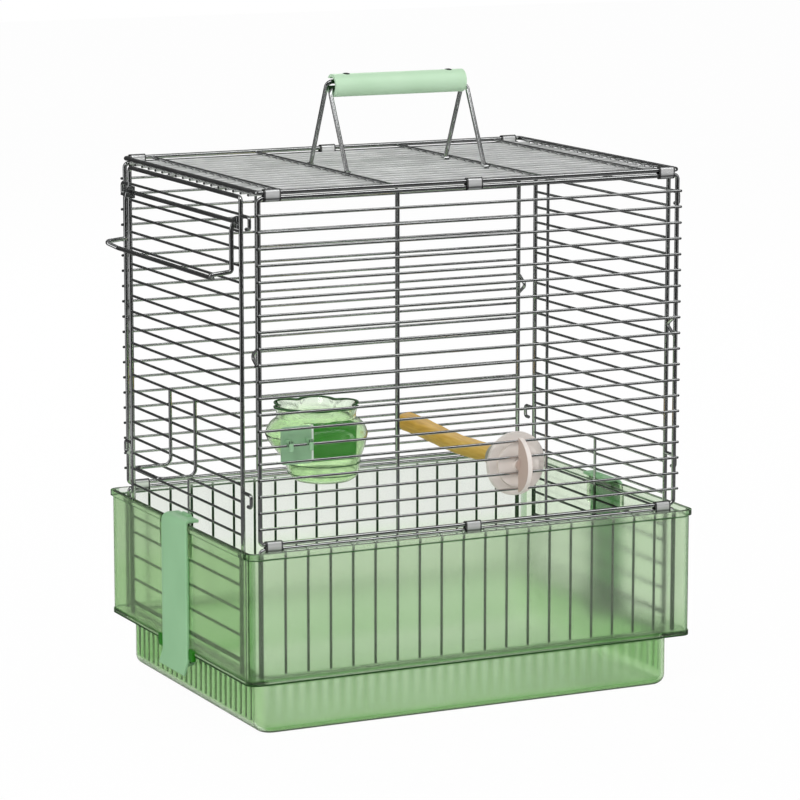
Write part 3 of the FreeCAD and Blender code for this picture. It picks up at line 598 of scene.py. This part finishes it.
FINISH_OF_SLOT = {
    "steel_wire": WIRE, "pin_steel": WIRE, "surround_plastic": SURROUND, "tray_plastic": TRAY,
    "clip_plastic": SAGE, "grip_plastic": MINT, "stud_plastic": STUD, "perch_wood": WOOD,
    "perch_plastic": BEIGE, "cup_plastic": CUP, "hanger_plastic": PLATE,
}
for part in frame["record"]["subparts"]:
    name, slot = part["node"], part["material_slot"]
    if slot == "sleeve_steel":
        dressing = rolled_sheet(name)
    else:
        dressing = LIT_SATIN if name == "top_panel_wires" else FINISH_OF_SLOT[slot]
    nodes[name].data.materials.clear()
    nodes[name].data.materials.append(dressing)


# Mesh helpers

def placed(name, data):
    """A new object in the scene."""
    made = bpy.data.objects.new(name, data)
    bpy.context.scene.collection.objects.link(made)
    return made


def plain_mesh(holder):
    """The mesh of an object with its modifiers applied."""
    graph = bpy.context.evaluated_depsgraph_get()
    return bpy.data.meshes.new_from_object(holder.evaluated_get(graph))


def shaped(mesh, *modifiers):
    """The mesh after a list of modifiers, each a kind and its settings."""
    holder = placed("shaped", mesh)
    for kind, settings in modifiers:
        modifier = holder.modifiers.new(kind, kind)
        for key, value in settings.items():
            setattr(modifier, key, value)
    result = plain_mesh(holder)
    bpy.data.objects.remove(holder)
    return result


def sheet_mesh(rows, closed=False, caps=(0, -1)):
    """A skin over rows of points. A closed one goes round each row and fills its capped rows."""
    grid = bmesh.new()
    made = [[grid.verts.new(point) for point in row] for row in rows]
    for lower, upper in zip(made, made[1:]):
        count = len(lower) if closed else len(lower) - 1
        for step in range(count):
            after = (step + 1) % len(lower)
            grid.faces.new((lower[step], lower[after], upper[after], upper[step]))
    if closed:
        for cap in caps:
            grid.faces.new(made[cap])
    bmesh.ops.recalc_face_normals(grid, faces=grid.faces)
    return finished(grid)


def finished(grid):
    """The mesh of a working grid, which is let go."""
    mesh = bpy.data.meshes.new("made")
    grid.to_mesh(mesh)
    grid.free()
    return mesh


def prism(corners, start, end):
    """A flat outline of (x, z) corners, drawn along Y from start to end."""
    return sheet_mesh([[(x, y, z) for x, z in corners] for y in (start, end)], closed=True)


def slab(low, high, corner, edge, flat="Y"):
    """A block with rounded corners, seen along one axis, and softened edges."""
    axes = [letter for letter in "XYZ" if letter != flat]
    first, second = ("XYZ".index(letter) for letter in axes)
    depth = "XYZ".index(flat)
    rows = []
    for level in (low[depth], high[depth]):
        row = []
        centres = [(high, high, 0), (low, high, 90), (low, low, 180), (high, low, 270)]
        for near_first, near_second, start in centres:
            middle_first = near_first[first] + (corner if near_first is low else -corner)
            middle_second = near_second[second] + (corner if near_second is low else -corner)
            for across, up in arc((middle_first, middle_second), corner, start, start + 90, 6):
                point = [0.0, 0.0, 0.0]
                point[first], point[second], point[depth] = across, up, level
                row.append(tuple(point))
        rows.append(row)
    bevel = ("BEVEL", {"width": edge, "segments": 3, "angle_limit": 0.9})
    return shaped(sheet_mesh(rows, closed=True), bevel)


def arc(centre, radius, start, end, steps):
    """Points on an arc, from a start to an end angle in degrees."""
    points = []
    for step in range(steps + 1):
        turn = math.radians(start + (end - start) * step / steps)
        points.append((centre[0] + radius * math.cos(turn), centre[1] + radius * math.sin(turn)))
    return points


def bead_line(path, radius):
    """A round bead along a closed path."""
    line = bpy.data.curves.new("line", "CURVE")
    line.dimensions = "3D"
    line.bevel_depth = radius
    line.bevel_resolution = 2
    spline = line.splines.new("POLY")
    spline.points.add(len(path) - 1)
    for point, place in zip(spline.points, path):
        point.co = (*place, 1.0)
    spline.use_cyclic_u = True
    return shaped(line)


def joined(*meshes):
    """Several meshes in one."""
    grid = bmesh.new()
    for mesh in meshes:
        grid.from_mesh(mesh)
    return finished(grid)


def piece(name, mesh, finish, body, slot, *replaced):
    """A finished piece at the origin, which rides on its body."""
    mesh.materials.clear()
    mesh.materials.append(finish)
    for face in mesh.polygons:
        face.use_smooth = True
        face.material_index = 0
    mesh.set_sharp_from_angle(angle=SHARP_TURN)
    made = placed(name, mesh)
    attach(made, body)
    if replaced:
        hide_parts(*replaced)


# Rows of beads, cut ends and flutes

def bead_shape(tree):
    """A small ball."""
    links = {"Segments": 8, "Rings": 6, "Radius": tree.given["Radius"]}
    return tree.node("GeometryNodeMeshUVSphere", links=links)


def flute_shape(tree):
    """A flattened upright cone."""
    top, foot, length = (tree.given[label] for label in ("Radius", "Foot Radius", "Length"))
    links = {"Vertices": 14, "Radius Top": top, "Radius Bottom": foot, "Depth": length}
    cone = tree.node("GeometryNodeMeshCone", links=links)
    links = {"Geometry": cone, "Scale": tree.given["Flatten"]}
    return tree.node("GeometryNodeTransform", links=links)


BEADS = Rows("bead_row", bead_shape, {"Radius": "Float"})
FLUTE_SIZES = {"Radius": "Float", "Foot Radius": "Float", "Length": "Float", "Flatten": "Vector"}
FLUTES = Rows("flute_row", flute_shape, FLUTE_SIZES)


def beads(count, start, step, finish=WIRE, radius=BEAD_R):
    """A straight row of beads."""
    return BEADS.mesh(Count=count, Start=start, Step=step, Finish=finish, Radius=radius)


def bar_row(node, count, axis):
    """The radius, first place and spacing of a node's even row of bars along an axis."""
    low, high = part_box(node)
    letter = "XYZ".index(axis)
    thin = min(high - low)
    radius = thin / 2
    first = low[letter] + radius
    return radius, first, (high[letter] - radius - first) / (count - 1)


def panel_beads(name, side):
    """A panel's weld beads and its bars' cut ends. Side is -1 for the front and 1 for the back."""
    radius, first, pitch = bar_row(name + "_panel_bars", PANEL_BARS, "Z")
    bars_low, bars_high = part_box(name + "_panel_bars")
    middle = (bars_low.y + bars_high.y) / 2
    seam = middle - side * radius
    post_low, post_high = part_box(name + "_panel_frame")
    stiff_low, stiff_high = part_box(name + "_panel_stiffeners")
    post_r, stiff_r = (post_high.y - post_low.y) / 2, (stiff_high.y - stiff_low.y) / 2
    columns = (
        post_low.x + post_r, stiff_low.x + stiff_r,
        stiff_high.x - stiff_r, post_high.x - post_r,
    )
    step = (0, 0, pitch)
    welds = [beads(PANEL_BARS, (x, seam, first), step) for x in columns]
    piece(name + "_weld_beads", joined(*welds), WIRE, name + "_panel", "steel_wire")
    sides = (bars_low.x, bars_high.x)
    ends = [beads(PANEL_BARS, (x, middle, first), step, CUT, CUT_END_R) for x in sides]
    piece(name + "_cut_ends", joined(*ends), CUT, name + "_panel", "steel_wire")


def top_beads():
    """Weld beads between the top wires, the frame and the cross bars, and the wires' cut ends."""
    radius, first, pitch = bar_row("top_panel_wires", TOP_WIRES, "Y")
    low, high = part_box("top_panel_wires")
    frame_low, frame_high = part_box("top_panel_frame")
    bars_low, bars_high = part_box("top_cross_bars")
    frame_r, bar_r = (frame_high.z - frame_low.z) / 2, (bars_high.z - bars_low.z) / 2
    inner_low, inner_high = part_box("front_panel_stiffeners")
    columns = (
        frame_low.x + frame_r, bars_low.x + bar_r, inner_low.x + bar_r,
        inner_high.x - bar_r, bars_high.x - bar_r, frame_high.x - frame_r,
    )
    step = (0, pitch, 0)
    welds = [beads(TOP_WIRES, (x, first, high.z), step) for x in columns]
    piece("top_weld_beads", joined(*welds), WIRE, "top_panel", "steel_wire")
    level = low.z + radius
    ends = [beads(TOP_WIRES, (x, first, level), step, CUT, CUT_END_R) for x in (low.x, high.x)]
    piece("top_cut_ends", joined(*ends), CUT, "top_panel", "steel_wire")


def side_beads(name):
    """Weld beads where a side panel's bars meet its posts."""
    low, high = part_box(name + "_side_bars")
    radius = (high.x - low.x) / 2
    middle = (low.x + high.x) / 2
    first_high = low.z + radius + (SIDE_LOW_BARS - 1) * SIDE_LOW_PITCH
    pitch = (high.z - radius - first_high) / SIDE_HIGH_BARS
    welds = []
    for y in (low.y, high.y):
        welds.append(beads(SIDE_LOW_BARS, (middle, y, low.z + radius), (0, 0, SIDE_LOW_PITCH)))
        welds.append(beads(SIDE_HIGH_BARS, (middle, y, first_high + pitch), (0, 0, pitch)))
    piece(name + "_weld_beads", joined(*welds), WIRE, "base", "steel_wire")


def skirt_ends(name):
    """The cut lower ends of a skirt's wires."""
    first, pitch = bar_row(name + "_skirt_wires", SKIRT_WIRES, "X")[1:]
    low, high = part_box(name + "_skirt_wires")
    start = (first, (low.y + high.y) / 2, low.z)
    ends = beads(SKIRT_WIRES, start, (pitch, 0, 0), CUT, CUT_END_R)
    piece(name + "_skirt_ends", ends, CUT, "base", "steel_wire")


def tray_flutes():
    """Upright flutes on the tray's ends, tapered towards its foot."""
    half_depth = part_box("lower_tray")[1].y
    count = int(2 * (half_depth - TRAY_CORNER) / FLUTE_PITCH) + 1
    first = -FLUTE_PITCH * (count - 1) / 2
    sizes = {
        "Radius": FLUTE_R, "Foot Radius": FLUTE_FOOT_R, "Length": TRAY_HEIGHT - FLUTE_FOOT_Z,
        "Flatten": (FLUTE_FLATNESS, 1.0, 1.0),
    }
    rows = []
    for x in (-TRAY_HALF_WIDTH, TRAY_HALF_WIDTH):
        start, step = (x, first, FLUTE_FOOT_Z), (0.0, FLUTE_PITCH, 0.0)
        rows.append(FLUTES.mesh(Count=count, Start=start, Step=step, Finish=LIT_FLUTE, **sizes))
    piece("tray_flutes", joined(*rows), LIT_FLUTE, "base", "tray_plastic")


for side_name, side in (("front", -1), ("back", 1)):
    panel_beads(side_name, side)
    skirt_ends(side_name)
top_beads()
for side_name in ("left", "right"):
    side_beads(side_name)
tray_flutes()


# Surround

def surround_shade_lines():
    """Dark beads of painted shade, where the surround's thick edges look dark, under its lip and at
    its foot.
    """
    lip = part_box("upper_surround")[1]
    wall = lip - Vector((RIM_LIP, RIM_LIP, 0))
    reach = SURROUND_CORNER - EDGE_LINE_SINK
    plan = []
    for across, along, start in ((1, 1, 0), (-1, 1, 90), (-1, -1, 180), (1, -1, 270)):
        centre = (across * (wall.x - SURROUND_CORNER), along * (wall.y - SURROUND_CORNER))
        plan += arc(centre, reach, start, start + 90, 6)
    levels = (lip.z - RIM_HEIGHT - EDGE_LINE_R, TRAY_HEIGHT + EDGE_LINE_R)
    loops = [bead_line([(x, y, z) for x, y in plan], EDGE_LINE_R) for z in levels]
    piece("surround_shade_lines", joined(*loops), SHADE_LINE, "base", "surround_plastic")


surround_shade_lines()


# Clips

def clip(name, side):
    """A strap with rounded shoulders that hooks over the rim, with a flared tail and two ears."""
    low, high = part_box(name)
    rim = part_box("upper_surround")[1]
    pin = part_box("clip_pins")[1]
    pin_x, pin_z = pin.x - PIN_R, pin.z - PIN_R
    half_width = high.y
    inner = rim.x - RIM_LIP + CLIP_WALL_GAP
    middle = inner + CLIP_THICKNESS / 2
    tip = min(abs(low.x), abs(high.x))
    crown = rim.z + CLIP_RISE
    level = crown - CLIP_THICKNESS / 2
    path = [(tip, level)] + arc((middle - CLIP_BEND, level - CLIP_BEND), CLIP_BEND, 90, 0, 8)
    path += [(middle, crown - CLIP_BEND - step * MM) for step in range(2, 8)]
    path += [(middle, pin_z + CLIP_TAIL_RISE), (middle + CLIP_TAIL_FLARE, low.z)]
    rows = []
    for out, up in path:
        drop = max(CLIP_CORNER - (crown - up), 0.0)
        half = half_width - CLIP_CORNER + math.sqrt(CLIP_CORNER ** 2 - drop ** 2)
        rows.append([(side * out, half * step / 6, up) for step in range(-6, 7)])
    strap = shaped(
        sheet_mesh(rows),
        ("SOLIDIFY", {"thickness": CLIP_THICKNESS, "offset": 0.0, "use_even_offset": True}),
        ("BEVEL", {"width": CLIP_EDGE, "segments": 3, "angle_limit": 0.7}),
    )
    parts = [strap]
    bead = [(side * x, z) for x, z in arc((tip + CLIP_TIP_R, crown), CLIP_TIP_R, 0, 330, 11)]
    parts.append(prism(bead, 2 * CLIP_CORNER - half_width, half_width - 2 * CLIP_CORNER))
    ear = [(side * x, z) for x, z in arc((pin_x, pin_z), LUG_R, 90, 270, 10)]
    ear += [(side * middle, pin_z - LUG_R), (side * middle, pin_z + LUG_R)]
    for end in (-1, 1):
        parts.append(prism(ear, end * EAR_NEAR, end * EAR_FAR))
    piece(name + "_strap", joined(*parts), SAGE, name, "clip_plastic", name)


def notch_blocks(side, reach, notch, width, heights, corner, edge):
    """Two blocks on a side wall, one at each end of a notch. Reach is from the middle, outwards."""
    blocks = []
    for end in (-1, 1):
        across = sorted(side * out for out in reach)
        along = sorted((end * notch, end * (notch + width)))
        low, high = zip(across, along, heights)
        blocks.append(slab(low, high, corner, edge, "X"))
    return joined(*blocks)


def clip_seat(name, side):
    """The rim's curled ends beside a clip's notch, and the dark guards beside its hinge."""
    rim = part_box("upper_surround")[1]
    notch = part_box(name)[1].y + CLIP_NOTCH_GAP
    wall = rim.x - RIM_LIP
    reach = (wall - CURL_SINK, rim.x - CURL_INSET)
    heights = (rim.z - CURL_DROP, rim.z - CURL_SINK)
    curls = notch_blocks(side, reach, notch, CURL_WIDTH, heights, CURL_CORNER, CURL_EDGE)
    piece(name + "_rim_curls", curls, SURROUND, "base", "surround_plastic")
    reach = (wall - GUARD_SINK, wall + GUARD_REACH)
    heights = (GUARD_FOOT_Z, GUARD_TOP_Z)
    guards = notch_blocks(side, reach, notch, GUARD_WIDTH, heights, GUARD_CORNER, GUARD_EDGE)
    piece(name + "_guards", guards, DEEP, "base", "surround_plastic")


for clip_name, side in (("left_clip", -1), ("right_clip", 1)):
    clip(clip_name, side)
    clip_seat(clip_name, side)


# Grip

def grip_lenses():
    """Two low dark lenses on the grip's top."""
    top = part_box("handle_grip")[1].z
    lenses = []
    for x in (-STUD_X, STUD_X):
        rows = []
        for step in range(LENS_RINGS):
            lean = math.pi / 2 * step / LENS_RINGS
            reach, level = LENS_R * math.cos(lean), top - LENS_SINK + LENS_RISE * math.sin(lean)
            rows.append([(*place, level) for place in arc((x, 0.0), reach, 0, 345, 23)])
        lenses.append(sheet_mesh(rows, closed=True))
    piece("grip_lenses", joined(*lenses), STUD, "handle_front", "stud_plastic", "grip_studs")


grip_lenses()


# Perch

def branch():
    """A slightly wavy, twisted branch, thicker at its free end, with a chamfered tip."""
    low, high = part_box("perch_dowel")
    middle_x, middle_z = (low.x + high.x) / 2, (low.z + high.z) / 2
    radius = (high.x - low.x) / 2
    rows = []
    for step in range(BRANCH_STEPS + 1):
        share = step / BRANCH_STEPS
        # The root stays straight in its holder.
        free = min(max((share - 0.15) / 0.2, 0.0), 1.0)
        sway_x = BRANCH_SWAY_X * free * math.sin(8.2 * share + 0.4)
        sway_z = BRANCH_SWAY_Z * free * math.sin(6.0 * share + 2.0)
        tip = BRANCH_TIP if step == BRANCH_STEPS else 1.0
        y = low.y + (high.y - low.y) * share
        row = []
        for spoke in range(BRANCH_SPOKES):
            turn = 2 * math.pi * spoke / BRANCH_SPOKES
            facet = 0.035 * math.cos(4 * turn + 2.4 * share)
            facet += 0.018 * math.sin(44 * share + 3 * turn)
            reach = radius * tip * (0.95 + 0.09 * share * free + facet * (0.3 + 0.7 * free))
            x = middle_x + sway_x + reach * math.cos(turn)
            z = middle_z + sway_z + reach * math.sin(turn)
            row.append((x, y, z))
        rows.append(row)
    piece("perch_branch", sheet_mesh(rows, closed=True), WOOD, "perch", "perch_wood", "perch_dowel")


branch()


# Feeder

def petal_reach(turn):
    """How far the flower outline reaches in one direction."""
    sector = 2 * math.pi / PETALS
    lean = (turn - PETAL_TURN + sector / 2) % sector - sector / 2
    chord = math.sqrt(PETAL_R ** 2 - (PETAL_OFFSET * math.sin(lean)) ** 2)
    return PETAL_OFFSET * math.cos(lean) + chord


def bowl_outline(belly):
    """The bowl's outline as reach, height and how far each ring sits to the right."""
    return [
        (0.3 * belly, 0.0, 5 * MM), (15.5 * MM, 0.0, 5 * MM), (19 * MM, 0.8 * MM, 5 * MM),
        (22 * MM, 2.8 * MM, 5 * MM), (24 * MM, 6 * MM, 5 * MM), (25 * MM, 9.5 * MM, 4.8 * MM),
        (25.6 * MM, 13 * MM, 4.4 * MM), (27.6 * MM, 17 * MM, 3.5 * MM),
        (30 * MM, 21 * MM, 2.5 * MM), (32.4 * MM, 25 * MM, 1.4 * MM),
        (33.9 * MM, 29 * MM, 0.4 * MM), (belly, 32 * MM, 0.0),
        (33.4 * MM, 35.5 * MM, 0.0), (31.4 * MM, 38.5 * MM, 0.0), (28.8 * MM, 40.7 * MM, 0.0),
        (CUP_NECK_R, CUP_NECK_HEIGHT, 0.0),
    ]


def feeder_bowl():
    """A bowl that swells in six soft lobes above a narrow foot and opens in a flared petal rim."""
    low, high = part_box("feeder_cup")
    middle_x, middle_y = (low.x + high.x) / 2, (low.y + high.y) / 2
    rise = high.z - low.z - CUP_NECK_HEIGHT
    turns = [2 * math.pi * spoke / BOWL_SPOKES for spoke in range(BOWL_SPOKES)]

    def ring(reach, height, shift, grow=0.0):
        """One level of the bowl, with its soft lobes."""
        swell = BOWL_LOBES * math.sin(math.pi * min(height / CUP_NECK_HEIGHT, 1.0))
        row = []
        for turn in turns:
            far = reach * (1 - swell + swell * math.cos(PETALS * (turn - PETAL_TURN))) + grow
            across, along = shift + far * math.cos(turn), far * math.sin(turn)
            row.append((middle_x + across, middle_y + along, low.z + height))
        return row

    outline = bowl_outline((high.x - low.x) / 2)
    rows = [ring(*place) for place in outline]
    for step in range(1, RIM_RINGS + 1):
        share = step / RIM_RINGS
        row = []
        for turn in turns:
            tip = petal_reach(turn)
            reach = CUP_NECK_R - RIM_START + (tip - CUP_NECK_R) * share ** 1.6
            height = CUP_NECK_HEIGHT + rise * share * (0.72 + 0.28 * tip / (PETAL_OFFSET + PETAL_R))
            across, along = reach * math.cos(turn), reach * math.sin(turn)
            row.append((middle_x + across, middle_y + along, low.z + height))
        rows.append(row)
    skin = sheet_mesh(rows, closed=True, caps=(0,))
    bowl = shaped(skin, ("SOLIDIFY", {"thickness": CUP_WALL, "offset": -1.0}))
    piece("feeder_bowl", bowl, CUP, "front_panel", "cup_plastic", "feeder_cup")
    # Painted shade: dark beads round the petal rim and two rings low on the bowl, where the clear
    # plastic's edges and creases look dark.
    lines = [bead_line(rows[-1], RIM_LINE_R)]
    for level in BOWL_LINE_RINGS:
        lines.append(bead_line(ring(*outline[level], BOWL_LINE_PROUD), BOWL_LINE_R))
    piece("feeder_shade_lines", joined(*lines), SHADE_LINE, "front_panel", "cup_plastic")


def feeder_divider():
    """The dark panel inside the bowl: straight on its right, cut to the bowl's wall low down."""
    low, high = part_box("feeder_cup")
    middle_x, middle_y = (low.x + high.x) / 2, (low.y + high.y) / 2
    left, right = middle_x - DIVIDER_LEFT, middle_x + DIVIDER_RIGHT
    outline = bowl_outline((high.x - low.x) / 2)
    outline = [place for place in outline if place[1] > DIVIDER_FOOT_Z]
    rows = []
    for face in (-DIVIDER_THICKNESS / 2, DIVIDER_THICKNESS / 2):
        y = middle_y - DIVIDER_FORWARD + face
        edge = []
        for reach, height, shift in outline:
            chord = math.sqrt((reach - CUP_WALL) ** 2 - (DIVIDER_FORWARD + DIVIDER_THICKNESS) ** 2)
            edge.append((min(middle_x + shift + chord - DIVIDER_GAP, right), y, low.z + height))
        rows.append([(left, y, low.z + outline[0][1])] + edge + [(left, y, low.z + outline[-1][1])])
    piece("feeder_divider", sheet_mesh(rows, closed=True), DEEP, "front_panel", "cup_plastic")


def feeder_plate():
    """The plate that hangs the bowl, with two hooks over a bar and a block behind it."""
    low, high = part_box("feeder_hanger")
    cup_low, cup_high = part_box("feeder_cup")
    face = low.y + PLATE_FACE_INSET
    back = face + PLATE_THICKNESS
    right = high.x
    left = right - PLATE_WIDTH
    hook_z = low.z + HOOK_RISE
    parts = [slab((left, face, low.z), (right, back, high.z), PLATE_CORNER, PLATE_EDGE)]
    for x in (left + HOOK_INSET, right - HOOK_INSET - HOOK_WIDTH):
        end, top = x + HOOK_WIDTH, hook_z + HOOK_THICKNESS
        arm = (x, low.y, hook_z), (end, face + HOOK_SINK, top)
        lip = (x, low.y, hook_z - HOOK_LIP), (end, low.y + HOOK_THICKNESS, top)
        parts += [slab(*block, HOOK_CORNER, HOOK_EDGE, "X") for block in (arm, lip)]
    middle_y = (cup_low.y + cup_high.y) / 2
    # The block reaches back as far as the bowl's wall.
    plan = [
        (right - BLOCK_WIDTH, back - BLOCK_SINK), (right, back - BLOCK_SINK),
        (right, middle_y - BLOCK_RIGHT_Y), (right - BLOCK_WIDTH / 2, middle_y - BLOCK_MIDDLE_Y),
        (right - BLOCK_WIDTH, middle_y - BLOCK_LEFT_Y),
    ]
    levels = (low.z, low.z + BLOCK_HEIGHT)
    parts.append(sheet_mesh([[(x, y, z) for x, y in plan] for z in levels], closed=True))
    piece("feeder_plate", joined(*parts), PLATE, "front_panel", "hanger_plastic", "feeder_hanger")
    # Painted highlight: a thin pale rib along the plate's right edge stands in for its bright edge.
    rib_low = (right - RIB_HALF_WIDTH, face - RIB_PROUD, low.z + RIB_FOOT)
    highlight_rib = slab(rib_low, (right + RIB_HALF_WIDTH, back, high.z), RIB_CORNER, RIB_EDGE)
    piece("feeder_plate_highlight_rib", highlight_rib, HIGHLIGHT_EDGE, "front_panel", "hanger_plastic")


feeder_bowl()
feeder_divider()
feeder_plate()


# Stage, light and camera

MIRRORED_FLOOR = 0.15
AMBIENT = 0.55
ROOM_HALF_WIDTH = 0.95
ROOM_FRONT = -0.95
ROOM_BACK = 0.8
ROOM_HEIGHT = 1.3
FLOOR_GAP = 0.002
CLOTH_GAP = 0.01
LEFT_STRIP = (0.0, 0.3)
RIGHT_STRIP = (-0.92, -0.65)
SKYLIGHT = (-0.8, -0.45)
LAMP_AIM = (0, 0, 0.2)
CAMERA_PLACE = (-1.0854, -2.2249, 0.6319)
CAMERA_AIM = (0.00206, 0.0, 0.19269)
CAMERA_LENS = 164.6
CAMERA_SENSOR = 36.0


def ray(tree, kind):
    """1 for rays of one kind, such as Camera or Glossy, and 0 for others."""
    return tree.node("ShaderNodeLightPath", output="Is " + kind + " Ray")


def seen(tree):
    """1 for what is looked at, directly or through clear plastic."""
    return ray(tree, "Camera").math("MAXIMUM", ray(tree, "Transmission"))


def aimed(holder, place, aim):
    """Sets a lamp or camera at a place, turned towards an aim."""
    holder.location = place
    holder.rotation_euler = (Vector(aim) - Vector(place)).to_track_quat("-Z", "Y").to_euler()


def pale_floor():
    """White where it is seen or shines through, dark where metal and plastic mirror it."""
    bpy.ops.mesh.primitive_plane_add(size=12.0)
    floor = bpy.context.object
    floor.name = "pale_floor"
    finish = Finish("floor_white", Base_Color=rgb(0.9, 0.9, 0.9), Roughness=0.9)
    white = rgb(1, 1, 1)
    glow = finish.node("ShaderNodeEmission", links={"Color": white, "Strength": 1.0})
    dim = finish.node("ShaderNodeEmission", links={"Color": white, "Strength": MIRRORED_FLOOR})
    lit = Value(finish, finish.shader.outputs[0])
    blend = finish.node("ShaderNodeMixShader", links={0: ray(finish, "Glossy"), 1: lit, 2: dim})
    blend = finish.node("ShaderNodeMixShader", links={0: 0.97 * seen(finish), 1: blend, 2: glow})
    finish.link(finish.tree.nodes["Material Output"].inputs["Surface"], blend)
    floor.data.materials.append(finish.material)


def dark_room():
    """A dark curtain with two pale strips, and a dim ceiling with a skylight.

    They show only where metal and plastic mirror them.
    """
    left, right, front, back = -ROOM_HALF_WIDTH, ROOM_HALF_WIDTH, ROOM_FRONT, ROOM_BACK
    levels = (FLOOR_GAP, ROOM_HEIGHT)
    corners = [(right, front), (right, back), (left, back), (left, front), (right, front)]
    curtain = sheet_mesh([[(x, y, z) for x, y in corners] for z in levels])
    strips = []
    for x, ends in ((left + CLOTH_GAP, LEFT_STRIP), (right - CLOTH_GAP, RIGHT_STRIP)):
        strips.append(sheet_mesh([[(x, y, z) for y in ends] for z in levels]))
    overhead = []
    for z, ends in ((ROOM_HEIGHT, (front, back)), (ROOM_HEIGHT - CLOTH_GAP, SKYLIGHT)):
        overhead.append(sheet_mesh([[(x, y, z) for x in (left, right)] for y in ends]))
    ceiling, skylight = overhead
    cloths = (
        ("curtain", curtain, 0.03), ("ceiling", ceiling, 0.25),
        ("strips", joined(*strips), 1.2), ("skylight", skylight, 3.0),
    )
    for name, mesh, shade in cloths:
        glow = {"Emission_Color": rgb(1, 1, 1), "Emission_Strength": shade}
        cloth = Finish("room_" + name, Base_Color=rgb(0, 0, 0), **glow)
        mesh.materials.append(cloth.material)
        hung = placed("room_" + name, mesh)
        for kind in ("camera", "diffuse", "transmission", "volume_scatter", "shadow"):
            setattr(hung, "visible_" + kind, False)


def studio_world():
    """White to the camera and through clear plastic, and a softer light on the object."""
    world = bpy.data.worlds.new("studio")
    bpy.context.scene.world = world
    world.use_nodes = True
    studio = Nodes(world.node_tree)
    white = seen(studio)
    back = world.node_tree.nodes["Background"]
    back.inputs["Color"].default_value = rgb(1, 1, 1)
    studio.link(back.inputs["Strength"], white + AMBIENT * (1.0 - white))


def soft_lamp(name, place, size, watts):
    """A large lamp, aimed at the cage."""
    lamp = bpy.data.lights.new(name, "AREA")
    lamp.shape = "RECTANGLE"
    lamp.size, lamp.size_y = size
    lamp.energy = watts
    aimed(placed(name, lamp), place, LAMP_AIM)


pale_floor()
dark_room()
studio_world()
soft_lamp("key_lamp", (-1.6, -1.4, 2.0), (0.9, 0.9), 26)
soft_lamp("fill_lamp", (1.9, -1.5, 1.1), (1.2, 1.2), 12)
soft_lamp("back_lamp", (0.4, 2.0, 1.6), (1.2, 0.8), 18)

camera = placed("camera", bpy.data.cameras.new("camera"))
aimed(camera, CAMERA_PLACE, CAMERA_AIM)
camera.data.lens = CAMERA_LENS
camera.data.sensor_width = CAMERA_SENSOR
bpy.context.scene.camera = camera
bpy.context.scene.view_settings.view_transform = "Standard"
